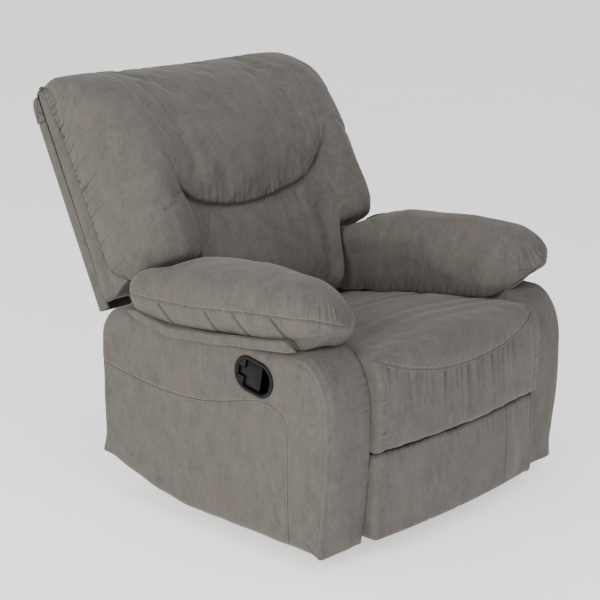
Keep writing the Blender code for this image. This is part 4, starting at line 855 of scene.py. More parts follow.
def makePillow(hand, side):
    p = pillow

    def shape(rows, columns):
        at = np.linspace(0, 1, 400)
        mixed = 0.40 * (1 - np.cos(math.pi * at)) / 2 + 0.60 * at
        ends = np.interp(np.linspace(0, 1, rows), at, mixed)
        made = np.zeros((rows, columns, 3))
        for i, y in enumerate(p["frontY"] + (p["rearY"] - p["frontY"]) * ends):
            loop, n = pillowSection(y, columns)
            under = np.clip((p["tip"] - loop[:, 1]) / (p["tip"] - p["base"]), 0, 1)
            made[i, :, 0] = loop[:, 0]
            made[i, :, 1] = y + (1 - n) ** 1.5 * 0.055 * under
            made[i, :, 2] = loop[:, 1]
        return made

    def pins(points):
        x, y, z = np.moveaxis(points, -1, 0)
        held = np.where((z < p["base"] + 0.010) | (np.abs(z - pillowSeam(y)) < 0.005) & (x > 0.41), 1.0, 0.0)
        held[(x > 0.422) & (z < pillowEdge(y) + 0.008)] = 1.0
        held[:3] = 1.0
        held[-5:] = 1.0
        held[(pillowLimit(x, y) - z < 0.012) & (y > -0.06)] = 1.0
        return held

    points = stuffed(shape, p["rows"], p["columns"], True, pins, p)
    x, y, z = np.moveaxis(points, -1, 0)
    out = outward(points, True)
    start = 70 if side < 0 else 80
    outside = smoothStep(x, 0.40, 0.43)
    n = np.clip((y - p["frontY"]) / p["nose"], 0, 1)
    away = z - pillowSeam(y) + 0.30 * np.maximum(0, 0.43 - x) * (1 - n)
    front = smoothStep(-y, 0.40, 0.44)
    sewn = np.maximum(outside, front) * smoothStep(x, 0.29, 0.33)
    seam = bell(away, 0.0030) * sewn
    below = smoothStep(-away, 0.0, 0.010) * sewn
    pleats = 0.0
    for place, deep in ((0.030, 1.0), (-0.128, 0.8), (-0.220, 0.9), (-0.333, 1.0)):
        line = y - place - (0.62 + 0.2 * math.sin(57 * place)) * away  # a slanted crease under the seam
        pleats = pleats - deep * (p["crease"] * bell(line, 0.0036) - p["crest"] * bell(line - 0.010, 0.008))
    pleats = pleats * below * smoothStep(-away, 0.0, 0.006)
    pull = ripple(y + 0.2 * away, 0.023, start + 1) * p["pull"] * np.exp(-np.abs(away) / 0.014) * sewn
    inside = smoothStep(0.305 - x, 0.0, 0.03)
    foot = z - seatTops[0](y) - p["overSeat"]
    nearFoot = np.exp(-np.maximum(0, foot) / 0.026) * smoothStep(foot, 0.0, 0.006)
    gather = gathered(y + 0.3 * foot, 0.024, start + 2) * p["gather"] * inside * nearFoot
    swing = np.arctan2(x - p["ridge"], y + 0.38) * 0.10
    noseFan = gathered(swing, 0.012, start + 3) * p["noseFan"] * smoothStep(-y, 0.37, 0.45)
    noseFan = noseFan * bell(away - 0.014, 0.036)
    across = y + 0.035 + 0.30 * (z - 0.60) + 0.9 * (x - 0.36) ** 2
    crossSeam = bell(across, 0.0026) * smoothStep(z, 0.575, 0.60) * smoothStep(x, 0.33, 0.37)
    soft = wander(points, 0.17, start + 4) * p["waver"] + wander(points, 0.06, start + 5) * p["fineWaver"]
    free = smoothStep(pillowLimit(x, y) - z, 0.0, 0.012)
    free = np.where((z < p["base"] + 0.002) & (x > 0.300) & (x < 0.442), 0.0, free)
    move = -p["seamDepth"] * seam + pleats + pull + gather + noseFan - p["crossSeam"] * crossSeam + soft
    points = points + out * (move * free)[..., None]
    # painted shade in the seam grooves and in the creases of the pleats, gathers and nose fan
    foldShade = np.clip(0.22 * bell(away, 0.0020) * sewn + 0.1 * crossSeam
                   + np.clip(-(pleats + gather + noseFan) / 0.005, 0, 0.55), 0, 1)
    held = sewn > 0.5
    sewing["arm_pillow_cover_" + hand] = [path * np.array((side, 1, 1)) for path in (
        seamPath(points, away - 0.004, held, False),
        seamPath(points, across - 0.003, (z > 0.588) & (x > 0.345), True))]
    points[..., 0] *= side
    return gridObject("arm_pillow_cover_" + hand, points, True, foldShade)


for hand, side in sides:
    dress(makePillow(hand, side), "chassis", ["arm_pillow_" + hand])
print("arm pillows done")


# Back: head panel over a lumbar panel, between two bolsters, one sewn cover

back = dict(hingeY=0.155, hingeZ=0.32238, lean=math.radians(25.5), base=-0.0534, half=0.395, top=0.757,
            arch=-0.001, bolsterLow=0.2195, lumbarLow=0.060, bolsterDepth=0.240, fullS=0.398, fade=0.43,
            seamX=0.243, tuck=0.327, tuckRise=0.068, tuckTilt=0.012, hollow=0.030, sideSeam=0.16,
            swell=0.022, pressure=2.4, cap=0.024, grow=-0.01, shiftX=0.008, rows=300, columns=440, step=4,
            seamDepth=0.0014, stripDepth=0.0018, tuckDepth=0.005, sideSeamDepth=0.0045, gather=0.0028,
            fineGather=0.0008, pucker=0.0050, widePucker=0.0024, waver=0.0030, fineWaver=0.0008, fan=0.0010)


def backPlace(x, s, t):
    sine, cosine = math.sin(back["lean"]), math.cos(back["lean"])
    return np.stack([x, back["hingeY"] + s * sine - t * cosine, back["hingeZ"] + s * cosine + t * sine], -1)


headSeam = through([(0.20, 0.243), (0.37, 0.246), (0.41, 0.250), (0.52, 0.262), (0.60, 0.272), (0.645, 0.275),
                    (0.706, 0.264), (0.76, 0.255)])  # places of the seams off the middle, over the height s
stripIn = through([(0.05, 0.224), (0.217, 0.221), (0.241, 0.211), (0.268, 0.192), (0.298, 0.178),
                   (0.327, 0.169), (0.40, 0.166)])
stripOut = through([(0.05, 0.302), (0.218, 0.298), (0.242, 0.286), (0.280, 0.260), (0.318, 0.233),
                    (0.40, 0.205)])


def tuckS(x):
    share = np.clip(x / back["seamX"], -1.15, 1.15)
    rise = 0.62 * share ** 2 + 0.30 * share ** 6 + 0.08 * share ** 14
    return back["tuck"] + back["tuckRise"] * rise + back["tuckTilt"] * share


def wallTable(low, high, span, count):  # rise of the sides: (place along span, share of the depth)
    depth = 0.27
    ends = []
    for wall in (low, high):  # level steps of growing length lead from the last point to the middle
        ends.append(list(wall))
        while ends[-1][-1][0] * 1.5 < span * 0.47:
            ends[-1].append((max(ends[-1][-1][0] * 1.5, ends[-1][-1][0] + 0.02), 1.0))
    line = ends[0] + [(span - inset, e) for inset, e in reversed(ends[1])]
    made = softLine(np.array(line) * np.array((1.0, depth)), count)
    return made[:, 0], np.clip(made[:, 1] / depth, 0, 1)


sideWall = [(0.004, 0.0), (0.001, 0.08), (0.005, 0.16), (0.0, 0.24), (-0.003, 0.40), (-0.001, 0.56),
            (0.006, 0.70), (0.019, 0.82), (0.043, 0.915), (0.080, 0.97), (0.13, 1.0)]
topWall = [(0.012, 0.0), (0.003, 0.22), (0.001, 0.42), (0.009, 0.62), (0.030, 0.81), (0.065, 0.94),
           (0.12, 1.0)]
lowWall = [(0.005, 0.0), (0.001, 0.25), (0.0, 0.6), (0.002, 0.82), (0.008, 0.94), (0.022, 0.99), (0.05, 1.0)]


def depthLeft(s):  # the cushion gets thinner to the top
    return 1 - np.maximum(0.0, (s - back["fullS"]) / back["fade"]) ** 3


def topCorner(s):  # and a little narrower
    return 1 - 0.003 * np.maximum(0.0, (s - 0.64) / 0.10) ** 2


def backShape(rows, columns):
    p = back
    across, ex = wallTable(sideWall, sideWall, 2 * p["half"], rows)
    across = across - p["half"]
    up, rise = wallTable(lowWall, topWall, 0.70, columns)
    xn, ex = across[:, None], ex[:, None]
    q = (up / 0.70)[None, :]
    heel = 0.026 * (1 - smoothStep(ex * rise, 0.12, 0.42))  # the rear corner reaches lower, beside the arm
    endS = p["bolsterLow"] - heel
    lowS = p["lumbarLow"] + (endS - p["lumbarLow"]) * smoothStep(np.abs(xn), 0.216, 0.250)
    topS = p["top"] - p["arch"] * (xn / p["half"]) ** 2
    topS = topS - 0.014 * smoothStep(np.abs(xn), p["half"] - 0.026, p["half"])
    s = endS + q * (topS - endS) - (endS - lowS) * (1 - q) ** 5  # even rows again below the tuck
    es = rise[None, :]
    x = xn * topCorner(s)
    belly = smoothStep(s, p["bolsterLow"] - 0.01, p["bolsterLow"] + 0.06) * (1 - smoothStep(s, 0.62, 0.75))
    x = x + np.sign(xn) * p["swell"] * belly * smoothStep(ex, 0.40, 0.80) * smoothStep(np.abs(xn), 0.20, 0.33)
    fade = depthLeft(s)
    sewnX = x + p["shiftX"]  # the panels are sewn a little to one side
    wide = np.abs(sewnX)
    upper = p["base"] + (p["bolsterDepth"] - p["base"]) * fade * (1 - 0.075 * (np.abs(x) / p["half"]) ** 3)
    upper = upper - p["hollow"] * fade * (1 - smoothStep(wide, 0.19, 0.34))  # set back between the bolsters
    lumbar = 0.152 + 0.090 * (s - 0.074) - 0.006 * (sewnX / p["seamX"]) ** 2
    lower = lumbar + (upper - lumbar) * smoothStep(wide, 0.175, 0.330)
    roll = s - tuckS(sewnX)
    inside = smoothStep(p["seamX"] + 0.044 - wide, 0.0, 0.055)
    upper = upper - 0.032 * np.exp(-np.maximum(0, roll) / 0.024) * inside
    lower = lower - 0.005 * np.exp(-np.abs(roll) / 0.010) * inside
    # the tuck runs out into the bolsters on both sides
    soft = 0.007 + 0.11 * smoothStep(wide, p["seamX"] + 0.004, p["seamX"] + 0.080)
    above = smoothStep(roll, -soft, soft)
    full = ex ** (1 - 0.55 * smoothStep(s, 0.58, 0.74))  # the top corners are full
    t = p["base"] + (above * upper + (1 - above) * lower - p["base"]) * full * es
    return np.stack([x + 0 * t, s + 0 * t, t], -1)


def makeBack():
    p = back
    flat = {}

    def shape(rows, columns):
        made = backShape(rows, columns)
        flat[rows] = made
        return backPlace(made[..., 0], made[..., 1], made[..., 2])

    def pins(points):
        x, s, t = np.moveaxis(flat[points.shape[0]], -1, 0)
        held = np.where(t < p["base"] + 0.05, 1.0, 0.0)
        wide = np.abs(x + p["shiftX"])
        roll = s - tuckS(x + p["shiftX"])
        held[(np.abs(roll) < 0.008) & (wide < headSeam(s))] = 1.0
        held[(np.abs(wide - headSeam(s)) < 0.006) & (roll > 0)] = 0.9
        held[(np.abs(wide - 0.222) < 0.024) & (roll < 0)] = 0.9
        held[(s < p["bolsterLow"] + 0.008) & (wide > 0.27)] = 1.0  # pressed flat over the arm
        held[0], held[-1], held[:, 0], held[:, -1] = 1, 1, 1, 1
        return held

    points = stuffed(shape, p["rows"], p["columns"], False, pins, p)
    x, s, t = np.moveaxis(flat[p["rows"]], -1, 0)
    out = gridNormals(points, False)
    if out[p["rows"] // 2, p["columns"] // 2, 1] > 0:
        out = -out
    seamX = headSeam(s)
    sewnX = x + p["shiftX"]
    wide = np.abs(sewnX)
    roll = s - tuckS(sewnX)
    inHead = smoothStep(seamX - wide, 0.0, 0.012)
    faceOn = smoothStep(t, 0.0, 0.06)
    seam = bell(wide - seamX, 0.0030) * smoothStep(roll, 0.0, 0.02) * faceOn
    strip = np.maximum(bell(wide - stripOut(s), 0.0026), bell(wide - stripIn(s), 0.0026) * (x < 0))
    strip = strip * smoothStep(-roll, 0.0, 0.01)
    tuck = bell(roll - 0.001, 0.0036) * smoothStep(p["seamX"] + 0.044 - wide, 0, 0.055)
    onRoll = smoothStep(roll, 0.0, 0.006) * inHead
    reach = 0.034 + 0.022 * ripple(x, 0.10, 90) + 0.016 * smoothStep(x, 0.0, 0.2)
    gathers = (gathered(x, 0.019, 91) * p["gather"] + ripple(x, 0.012, 92) * p["fineGather"]) * onRoll
    gathers = gathers * np.exp(-np.maximum(0, roll) / np.maximum(0.012, reach))
    side = np.abs(x) / (p["half"] * topCorner(s))
    wallAway = (t - p["base"]) / np.maximum(0.05, (p["bolsterDepth"] - p["base"]) * depthLeft(s))
    atWall = smoothStep(side, 0.86, 0.96)
    # the side seam turns forward at its lower end
    run = wallAway - p["sideSeam"] - 0.26 * (1 - smoothStep(s, 0.21, 0.31)) ** 2
    sideSeam = bell(run, 0.014) * atWall
    strong = (0.45 + 0.55 * smoothStep(s, 0.34, 0.50)) * smoothStep(0.748 - s, 0.0, 0.04)
    slope = s - 0.05 * run  # the creases run up from the seam
    length = 0.16 + 0.09 * ripple(s, 0.045, 98)
    pucker = gathered(slope, 0.0180, 93) * p["pucker"] + gathered(slope, 0.033, 94) * p["widePucker"]
    pucker = pucker * strong * smoothStep(run, -0.012, 0.012)
    pucker = pucker * np.exp(-np.maximum(0, run) / np.maximum(0.06, length)) * smoothStep(side, 0.80, 0.95)
    soft = wander(points, 0.18, 95) * p["waver"] + wander(points, 0.06, 96) * p["fineWaver"]
    soft = soft * (1 - 0.7 * smoothStep(s, 0.66, 0.72))
    fan = ripple(np.arctan2(x - 0.10, roll + 0.25) * 0.25, 0.020, 97) * p["fan"] * inHead
    fan = fan * smoothStep(roll, 0.02, 0.06) * np.exp(-np.maximum(0, roll) / 0.09)
    sewn = -p["seamDepth"] * seam - p["stripDepth"] * strip - p["tuckDepth"] * tuck
    move = (sewn + gathers + fan + soft) * faceOn + pucker - p["sideSeamDepth"] * sideSeam
    points = points + out * (move * smoothStep(t - p["base"], 0.0, 0.02))[..., None]
    # painted shade in the seam grooves, deepest in the tuck, and in the creases of the gathers and puckers
    deep = np.clip(-gathers / 0.005, 0, 0.4) + np.clip(-pucker / 0.0038, 0, 0.85)
    foldShade = np.clip(0.14 * seam + 0.10 * strip + 0.60 * tuck + 0.40 * sideSeam + deep, 0, 1)
    lines = []
    for way in (-1, 1):
        half = x * way > 0
        shown = half & (roll > 0.030) & (t > 0.06) & (s < 0.735)
        lines.append(seamPath(points, wide - seamX - 0.0035, shown, True))
        flank = half & (side > 0.9) & (s > p["bolsterLow"] + 0.02) & (s < 0.735)
        lines.append(seamPath(points, run - 0.022, flank, True))
        strips = (stripIn(s) - 0.004, stripOut(s) + 0.004)
        for place in strips[1 if way > 0 else 0:]:  # the far inner one is hidden
            shown = half & (roll < -0.012) & (t > 0.09) & (s > 0.10) & ((s < 0.29) | (way < 0))
            lines.append(seamPath(points, wide - place, shown, True))
    sewing["back_cushion_cover"] = [line for line in lines if len(line) > 3]
    return gridObject("back_cushion_cover", points, False, foldShade)


dress(makeBack(), "back", ["head_pillow", "lumbar_pad", "back_bolster_left", "back_bolster_right"])
print("back cushion done")


# Rear shell of the back, and the flap that wraps over its top

shell = dict(half=0.390, rear=-0.102, front=-0.0537, wall=0.007, low=0.180, high=0.6675, edge=0.022,
             tailHalf=0.2915, tailLow=-0.030, rows=110, columns=420)


def makeShell():
    p = shell
    w = p["wall"]
    loop = roundedLoop([(-p["half"], p["front"], 0.003), (-p["half"], p["rear"], p["edge"]),
                        (p["half"], p["rear"], p["edge"]), (p["half"], p["front"], 0.003),
                        (p["half"] - w, p["front"], 0.002), (p["half"] - w, p["rear"] + w, p["edge"] - w),
                        (-p["half"] + w, p["rear"] + w, p["edge"] - w),
                        (-p["half"] + w, p["front"], 0.002)], p["columns"])
    inward = loopNormals(loop)
    points = np.zeros((p["rows"], p["columns"], 3))
    rim = ((0.0, 0.0034), (0.0, 0.0022), (0.0003, 0.0010), (0.0012, 0.0002))  # rounded edge: height, inset
    levels = [(p["low"] + k, inset) for k, inset in rim]
    levels += [(k, 0.0) for k in np.linspace(p["low"] + 0.003, p["high"] - 0.003, p["rows"] - 8)]
    levels += [(p["high"] - k, inset) for k, inset in reversed(rim)]
    for i, (level, inset) in enumerate(levels):
        flat = loop + inward * inset
        points[i] = np.stack([flat[:, 0], np.full(len(flat), level), flat[:, 1]], -1)
    x, level, t = np.moveaxis(points, -1, 0)
    outer = (t < p["rear"] + 0.002)
    rise = (level - p["low"]) / (p["high"] - p["low"])
    crown = 0.006 * np.sin(np.pi * np.clip(rise, 0, 1)) ** 0.7 * np.clip(1 - (x / p["half"]) ** 4, 0, 1)
    wrinkle = ripple(level + 0.1 * x, 0.05, 101) * 0.0012 * np.exp(-(p["half"] - np.abs(x)) / 0.03)
    points[..., 2] = np.where(outer, t - crown + wrinkle * 0.6, t)
    flank = (np.abs(x) > p["half"] - 0.001) & (t > p["rear"] + 0.01)
    belly = 0.0022 * np.sin(np.pi * (t - p["rear"]) / (p["front"] - p["rear"])) + 0.4 * wrinkle
    points[..., 0] = np.where(flank, x + np.sign(x) * belly, x)
    body = backPlace(points[..., 0], points[..., 1], points[..., 2])
    made = gridObject("back_shell_cover", body, True)
    tail = np.zeros((70, 160, 3))
    half, rear, front = p["tailHalf"], p["rear"] + 0.0015, p["rear"] + 0.0065
    strip = roundedLoop([(-half, rear, 0.002), (half, rear, 0.002), (half, front, 0.002),
                         (-half, front, 0.002)], 160)
    for i, level in enumerate(np.linspace(p["tailLow"], p["low"] + 0.016, 70)):
        tail[i] = np.stack([strip[:, 0], np.full(160, level), strip[:, 1]], -1)
    tail[..., 2] += wander(tail, 0.12, 103) * 0.0012
    flap = gridObject("tailStrip", backPlace(tail[..., 0], tail[..., 1], tail[..., 2]), True)
    bm = bmesh.new()
    bm.from_mesh(made.data)
    bm.from_mesh(flap.data)
    bm.to_mesh(made.data)
    bm.free()
    made.data.shade_smooth()
    bpy.data.objects.remove(flap)
    return made


dress(makeShell(), "back", ["back_shell"])

wrap = dict(half=0.3895, low=0.6686, high=0.738, front=-0.0537, rear=-0.1015, rows=220, columns=120,
            arch=0.009)


def makeWrap():
    p = wrap
    points = np.zeros((p["rows"], p["columns"], 3))
    for i, (x, share, inset) in enumerate(stations(p["half"], 0.012, 0.03, p["rows"])):
        high = p["high"] + p["arch"] * (1 - (x / p["half"]) ** 2)
        loop = roundedLoop([(p["front"], p["low"], 0.004), (p["rear"], p["low"], 0.008),
                            (p["rear"] - 0.002, p["low"] + 0.03, 0.03), (p["rear"] + 0.012, high, 0.030),
                            (p["front"], high, 0.010)], p["columns"])
        loop = loop + loopNormals(loop) * inset
        centre = np.array((-0.078, 0.70))
        loop = centre + (loop - centre) * share
        points[i] = np.stack([np.full(p["columns"], x), loop[:, 1], loop[:, 0]], -1)
    x, s, t = np.moveaxis(points, -1, 0)
    body = backPlace(x, s, t)
    out = outward(body, True)
    move = ripple(x, 0.03, 111) * 0.0010 + wander(body, 0.09, 112) * 0.0012
    move = move * smoothStep(s, p["low"] + 0.002, p["low"] + 0.02) * smoothStep(p["front"] - t, 0.0, 0.01)
    return gridObject("back_top_flap", body + out * move[..., None], True)


dress(makeWrap(), "back", ["back_top_wrap"])
print("rear shell and flap done")


# Release cup and paddle, moulded

def makeCup():
    p = cup
    face = -p["face"]
    lipOut = face - p["proud"]
    inner = -p["wall"]
    deep = face + p["depth"]
    rings = [(-0.030, deep), (-0.006, deep), (-0.0015, deep - 0.001), (0.0, deep - 0.004), (0.0, face),
             (p["flange"] - 0.0006, face), (p["flange"], face - 0.0006),
             (p["flange"] - 0.0008, lipOut + 0.0007), (p["flange"] - 0.0026, lipOut + 0.0001),
             (0.0, lipOut), (inner + 0.0014, lipOut + 0.0002), (inner + 0.0003, lipOut + 0.0010),
             (inner, lipOut + 0.0022), (inner, deep - 0.010), (inner - 0.002, deep - 0.0062),
             (inner - 0.006, deep - p["wall"]), (-0.030, deep - p["wall"])]
    points = np.zeros((len(rings), 96, 3))
    for i, (grow, x) in enumerate(rings):  # growth of the outline, and how far out it lies
        points[i, :, 0] = x
        points[i, :, 1:] = cupLoop(grow)
    return gridObject("release_cup", points, True)


dress(makeCup(), "chassis", ["handle_cup"], look=blackAbs)


def plateFrom(name, outline, start, end, edge):  # flat moulded plate with softened edges
    loop = np.array(outline)
    inward = loopNormals(loop)
    middle = loop.mean(0)
    way = math.copysign(edge, end - start)
    made = []
    for x, inset, share in ((start, edge, 0.0), (start, edge, 1.0), (start + way * 0.3, edge * 0.3, 1.0),
                            (start + way, 0.0, 1.0), (end - way, 0.0, 1.0),
                            (end - way * 0.3, edge * 0.3, 1.0), (end, edge, 1.0), (end, edge, 0.0)):
        flat = loop + inward * inset
        flat = middle + (flat - middle) * share
        made.append(np.concatenate([np.full((len(flat), 1), x), flat], 1))
    return gridObject(name, np.array(made), True)


def paddleOutline(gap):
    p = cup
    half = p["halfHeight"] - p["wall"] - 0.002 + gap
    rear = p["pivot"] + p["heel"] + gap
    stem = p["stemHalf"] + gap
    corners = [(-p["blade"] - gap, -half, 0.007), (rear, -half, 0.006), (rear, -stem, 0.003),
               (rear + p["stem"], -stem, 0.003), (rear + p["stem"], stem, 0.003), (rear, stem, 0.003),
               (rear, half, 0.006), (-p["blade"] - gap, half, 0.007)]
    return [cupPoint(a, b) for a, b in roundedLoop(corners, 120)]


paddleTop = -cup["face"] + cup["sink"]
paddle = plateFrom("release_paddle", paddleOutline(0.0), paddleTop, paddleTop + cup["thick"], 0.0012)
dress(paddle, "release_paddle", ["handle_paddle"], look=blackAbs)


def makeFacePlate():  # fixed plate round the paddle's stem, flush with the flange
    p = cup
    start = p["pivot"] + p["heel"] + 0.0010
    reach = p["halfHeight"] - p["wall"] - 0.0002
    straight = p["halfLength"] - p["halfHeight"]
    first = math.acos((start - straight) / reach)
    outline = [(straight + reach * math.cos(a), reach * math.sin(a)) for a in np.linspace(-first, first, 40)]
    slot, end = p["stemHalf"] + 0.0011, start + p["stem"] + 0.0006
    outline += [(start, slot), (end, slot), (end, -slot), (start, -slot)]
    top, low = -p["face"] - p["proud"] + 0.0012, -p["face"] + 0.004
    bm = bmesh.new()
    corners = []
    for a, b in outline:
        y, z = cupPoint(a, b)
        corners.append(bm.verts.new((low, y + shiftY, z)))
    base = bm.faces.new(corners)
    raised = bmesh.ops.extrude_face_region(bm, geom=[base])["geom"]
    lifted = [g for g in raised if isinstance(g, bmesh.types.BMVert)]
    bmesh.ops.translate(bm, verts=lifted, vec=(top - low, 0, 0))
    rim = [edge for edge in bm.edges if all(abs(v.co.x - top) < 1e-6 for v in edge.verts)]
    bmesh.ops.bevel(bm, geom=rim, offset=0.0007, segments=2, profile=0.5, affect='EDGES')
    bmesh.ops.triangulate(bm, faces=bm.faces)
    bmesh.ops.recalc_face_normals(bm, faces=bm.faces)
    mesh = bpy.data.meshes.new("release_face_plate")
    bm.to_mesh(mesh)
    bm.free()
    return placed("release_face_plate", mesh)


dress(makeFacePlate(), "chassis", look=blackAbs)
print("release cup and paddle done")


# Stitches and wire springs, by geometry nodes

def newTree(name, sockets):
    tree = bpy.data.node_groups.new(name, 'GeometryNodeTree')
    for label, kind in sockets:
        tree.interface.new_socket(label, in_out='INPUT', socket_type='NodeSocket' + kind)
    tree.interface.new_socket("Geometry", in_out='OUTPUT', socket_type='NodeSocketGeometry')
    return tree, tree.nodes.new("NodeGroupInput").outputs, tree.nodes.new("NodeGroupOutput").inputs


def finishTree(tree, made, source, material):  # every tree ends in real geometry with its material
    real = addNode(tree, "GeometryNodeRealizeInstances", {}, {0: source})
    smooth = addNode(tree, "GeometryNodeSetShadeSmooth", {}, {0: real.outputs[0]})
    coated = addNode(tree, "GeometryNodeSetMaterial", {}, {0: smooth.outputs[0], "Material": material})
    tree.links.new(coated.outputs[0], made[0])


def makeStitchTree():
    sockets = (("Geometry", 'Geometry'), ("Cover", 'Object'), ("Pitch", 'Float'), ("Length", 'Float'),
               ("Thickness", 'Float'), ("Lift", 'Float'), ("Thread", 'Material'))
    tree, given, made = newTree("stitches", sockets)
    line = addNode(tree, "GeometryNodeMeshToCurve", {}, {0: given["Geometry"]})
    steps = addNode(tree, "GeometryNodeResampleCurve", {"mode": 'LENGTH'},
                    {"Curve": line.outputs[0], "Length": given["Pitch"]})
    cloth = addNode(tree, "GeometryNodeObjectInfo", {"transform_space": 'ORIGINAL'},
                    {"Object": given["Cover"]})
    nearest = addNode(tree, "GeometryNodeProximity", {"target_element": 'FACES'},
                      {0: cloth.outputs["Geometry"]})
    facing = addNode(tree, "GeometryNodeInputNormal", {}, {})
    upward = addNode(tree, "GeometryNodeSampleNearestSurface", {"data_type": 'FLOAT_VECTOR'},
                     {"Mesh": cloth.outputs["Geometry"], "Value": facing.outputs[0]})
    lifted = addNode(tree, "ShaderNodeVectorMath", {"operation": 'SCALE'},
                     {0: upward.outputs[0], "Scale": given["Lift"]})
    place = addNode(tree, "ShaderNodeVectorMath", {"operation": 'ADD'},
                    {0: nearest.outputs["Position"], 1: lifted.outputs[0]})
    laid = addNode(tree, "GeometryNodeSetPosition", {},
                   {"Geometry": steps.outputs[0], "Position": place.outputs[0]})
    tangent = addNode(tree, "GeometryNodeInputTangent", {}, {})
    along = addNode(tree, "FunctionNodeAlignRotationToVector", {"axis": 'X'}, {"Vector": tangent.outputs[0]})
    upright = addNode(tree, "FunctionNodeAlignRotationToVector", {"axis": 'Z', "pivot_axis": 'X'},
                      {"Rotation": along.outputs[0], "Vector": upward.outputs[0]})
    bead = addNode(tree, "GeometryNodeMeshUVSphere", {"Segments": 6, "Rings": 4, "Radius": 0.5}, {})
    size = addNode(tree, "ShaderNodeCombineXYZ", {},
                   {0: given["Length"], 1: given["Thickness"], 2: given["Thickness"]})
    put = addNode(tree, "GeometryNodeInstanceOnPoints", {},
                  {"Points": laid.outputs[0], "Instance": bead.outputs["Mesh"],
                   "Rotation": upright.outputs[0], "Scale": size.outputs[0]})
    finishTree(tree, made, put.outputs[0], given["Thread"])
    return tree


def makeWireTree():  # round wire along drawn lines
    sockets = (("Geometry", 'Geometry'), ("Radius", 'Float'), ("Steel", 'Material'))
    tree, given, made = newTree("wire", sockets)
    line = addNode(tree, "GeometryNodeMeshToCurve", {}, {0: given["Geometry"]})
    ring = addNode(tree, "GeometryNodeCurvePrimitiveCircle", {"Resolution": 8}, {"Radius": given["Radius"]})
    drawn = addNode(tree, "GeometryNodeCurveToMesh", {"Fill Caps": True},
                    {"Curve": line.outputs[0], "Profile Curve": ring.outputs[0]})
    finishTree(tree, made, drawn.outputs[0], given["Steel"])
    return tree


def grown(tree, paths, values):  # runs a tree on drawn lines and gives a plain mesh
    points, edges = [], []
    for path in paths:
        edges += [(len(points) + k, len(points) + k + 1) for k in range(len(path) - 1)]
        points += [tuple(map(float, point)) for point in path]
    mesh = bpy.data.meshes.new("drawnLines")
    mesh.from_pydata(points, edges, [])
    lines = placed("drawnLines", mesh)
    step = lines.modifiers.new(tree.name, 'NODES')
    step.node_group = tree
    for item in tree.interface.items_tree:
        if item.in_out == 'INPUT' and item.name in values:
            step[item.identifier] = values[item.name]
    made = bpy.data.meshes.new_from_object(lines.evaluated_get(bpy.context.evaluated_depsgraph_get()))
    lines.modifiers.clear()
    bpy.data.objects.remove(lines)
    bpy.data.meshes.remove(mesh)
    return made


def joined(name, meshes):
    bm = bmesh.new()
    for mesh in meshes:
        bm.from_mesh(mesh)
    bmesh.ops.recalc_face_normals(bm, faces=bm.faces)
    mesh = bpy.data.meshes.new(name)
    bm.to_mesh(mesh)
    bm.free()
    mesh.shade_smooth()
    return placed(name, mesh)


# 4 mm stitches, drawn thick to show
stitch = dict(pitch=0.0062, length=0.0044, thickness=0.0013, lift=0.0002)
stitchTree = makeStitchTree()
covers = {"seat": ["seat_cushion_cover"], "footrest": ["footrest_pad_cover"],
          "back": ["back_cushion_cover"], "chassis": ["arm_upholstery_left", "arm_upholstery_right",
                                                      "arm_pillow_cover_left", "arm_pillow_cover_right"]}
for body, names in covers.items():
    meshes = [grown(stitchTree, [path + np.array((0, shiftY, 0)) for path in sewing[name]],
                    {"Cover": bpy.data.objects[name], "Pitch": stitch["pitch"], "Length": stitch["length"],
                     "Thickness": stitch["thickness"], "Lift": stitch["lift"], "Thread": thread})
              for name in names]
    dress(joined("stitching_" + body, meshes), body, look=thread)
print("stitching done")

wireTree = makeWireTree()
springs = dict(coilRadius=0.017, coilWire=0.0022, turns=3, spread=0.045, plate=0.003, seatWire=0.0019,
               waves=8, swing=0.024)
for number in (1, 2, 3):
    low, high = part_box("seat_spring_%d" % number)
    middle = (low + high) / 2
    at = np.linspace(0, 1, springs["waves"] * 24 + 1)
    route = np.stack([middle.x + springs["swing"] * np.sin(2 * np.pi * springs["waves"] * at),
                      low.y + springs["seatWire"] + (high.y - low.y - 2 * springs["seatWire"]) * at,
                      np.full(len(at), middle.z)], -1)
    mesh = grown(wireTree, [route], {"Radius": springs["seatWire"], "Steel": zincSteel})
    spring = joined("sinuous_spring_%d" % number, [mesh])
    dress(spring, "seat", ["seat_spring_%d" % number], look=zincSteel)


def springPlate(low, high):
    bm = bmesh.new()
    bmesh.ops.create_cube(bm, size=1.0)
    for corner in bm.verts:
        corner.co = (low + high) / 2 + Vector([corner.co[k] * (high[k] - low[k]) for k in range(3)])
    bmesh.ops.bevel(bm, geom=bm.edges, offset=0.0006, segments=2, profile=0.5, affect='EDGES')
    mesh = bpy.data.meshes.new("springPlate")
    bm.to_mesh(mesh)
    bm.free()
    return mesh


for hand, _ in sides:
    low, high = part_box("rocker_spring_" + hand)
    middle = (low + high) / 2
    at = np.linspace(0, 1, springs["turns"] * 28 + 1)
    routes = []
    for place in (-springs["spread"], springs["spread"]):
        turnBy = 2 * np.pi * springs["turns"] * at
        sunk = springs["plate"] / 2
        routes.append(np.stack([middle.x + springs["coilRadius"] * np.cos(turnBy),
                                middle.y + place + springs["coilRadius"] * np.sin(turnBy),
                                low.z + sunk + (high.z - low.z - 2 * sunk) * at], -1))
    coils = grown(wireTree, routes, {"Radius": springs["coilWire"], "Steel": zincSteel})
    plates = [springPlate(low, Vector((high.x, high.y, low.z + springs["plate"]))),
              springPlate(Vector((low.x, low.y, high.z - springs["plate"])), high)]
    pack = joined("rocker_spring_pack_" + hand, [coils] + plates)
    pack.data.materials.clear()
    pack.data.materials.append(zincSteel)
    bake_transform(pack)
    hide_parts("rocker_spring_" + hand)
print("springs done")


# CAD nodes that stay get their real finish

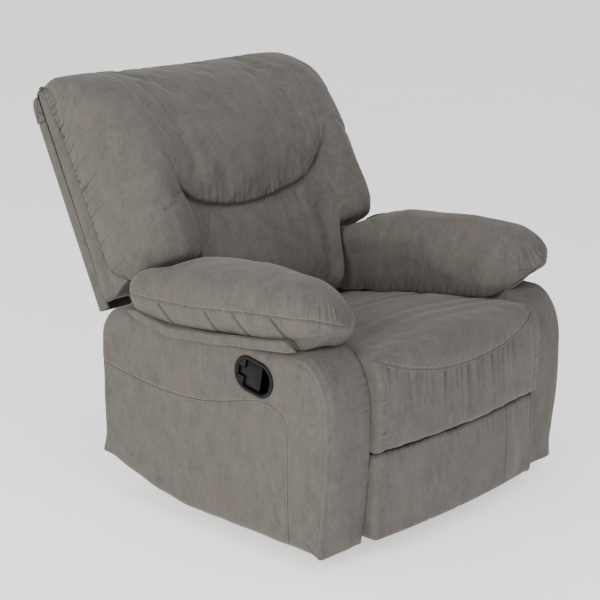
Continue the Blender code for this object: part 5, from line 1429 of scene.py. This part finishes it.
finishes = ((powderCoat, ("base_frame", "chassis_tube", "side_plate")),
            (glideNylon, ("floor_glide",)),
            (plywood, ("rocker_cam", "arm_frame", "seat_front_rail", "seat_rear_rail", "back_upright",
                       "back_top_rail", "back_lower_rail", "foot_board")),
            (zincSteel, ("swing_link", "seat_rail", "back_bracket", "foot_main_link", "foot_guide_link",
                         "foot_cross_link", "foot_end_link", "foot_torque_tube", "foot_bracket")))
for name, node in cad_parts.items():
    for look, starts in finishes:
        if name.startswith(starts):
            for k in range(len(node.material_slots)):
                node.material_slots[k].material = look
print("carried-over nodes finished")


# Stage, light and camera

def makeStage():
    bpy.ops.mesh.primitive_plane_add(size=60.0, location=(0, 0, 0))
    floor = bpy.context.object
    floor.name = "studio_floor"
    made, tree, shader = newMaterial("painted_floor", {"Roughness": 0.85})
    mottled(tree, shader, "f4f3f2", "f8f8f7", ((0.6, 1.0, 3.0),), 0.3, 0.7)
    shader.inputs["Emission Color"].default_value = linear("ffffff")
    shader.inputs["Emission Strength"].default_value = 0.85  # lit from below, as a photo table is
    floor.data.materials.append(made)
    floor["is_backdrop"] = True


def addLight(name, place, target, size, power, colour):
    data = bpy.data.lights.new(name, 'AREA')
    data.shape = 'DISK'
    data.size = size
    data.energy = power
    data.color = linear(colour)[:3]
    lamp = placed(name, data)
    lamp.location = place
    lamp.rotation_euler = (Vector(target) - Vector(place)).to_track_quat('-Z', 'Y').to_euler()


makeStage()
addLight("key", (-3.6, -1.0, 1.9), (0, 0, 0.5), 2.4, 110, "fff6ee")
addLight("front", (-1.3, -2.8, 2.9), (0, 0, 0.5), 2.2, 52, "f2f6ff")
addLight("top", (-0.6, 0.9, 3.6), (0, 0, 0.4), 3.0, 36, "f2f6ff")
world = bpy.data.worlds.new("studio")
world.use_nodes = True
world.node_tree.nodes["Background"].inputs["Color"].default_value = (0.92, 0.93, 0.95, 1.0)
world.node_tree.nodes["Background"].inputs["Strength"].default_value = 0.62
bpy.context.scene.world = world

view = dict(place=(-2.7463, -2.5550, 1.4933), turn=47.05, down=15.45, lens=93.0)
lensData = bpy.data.cameras.new("photo_camera")
lensData.lens = view["lens"]
lensData.sensor_width = 36.0
lensData.clip_end = 100.0
camera = placed("photo_camera", lensData)
turn, down = math.radians(view["turn"]), math.radians(view["down"])
way = Vector((math.sin(turn) * math.cos(down), math.cos(turn) * math.cos(down), -math.sin(down)))
camera.location = Vector(view["place"]) + Vector((0, shiftY, 0))
camera.rotation_euler = way.to_track_quat('-Z', 'Y').to_euler()
bpy.context.scene.camera = camera
print("stage, light and camera set")

low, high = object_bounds()
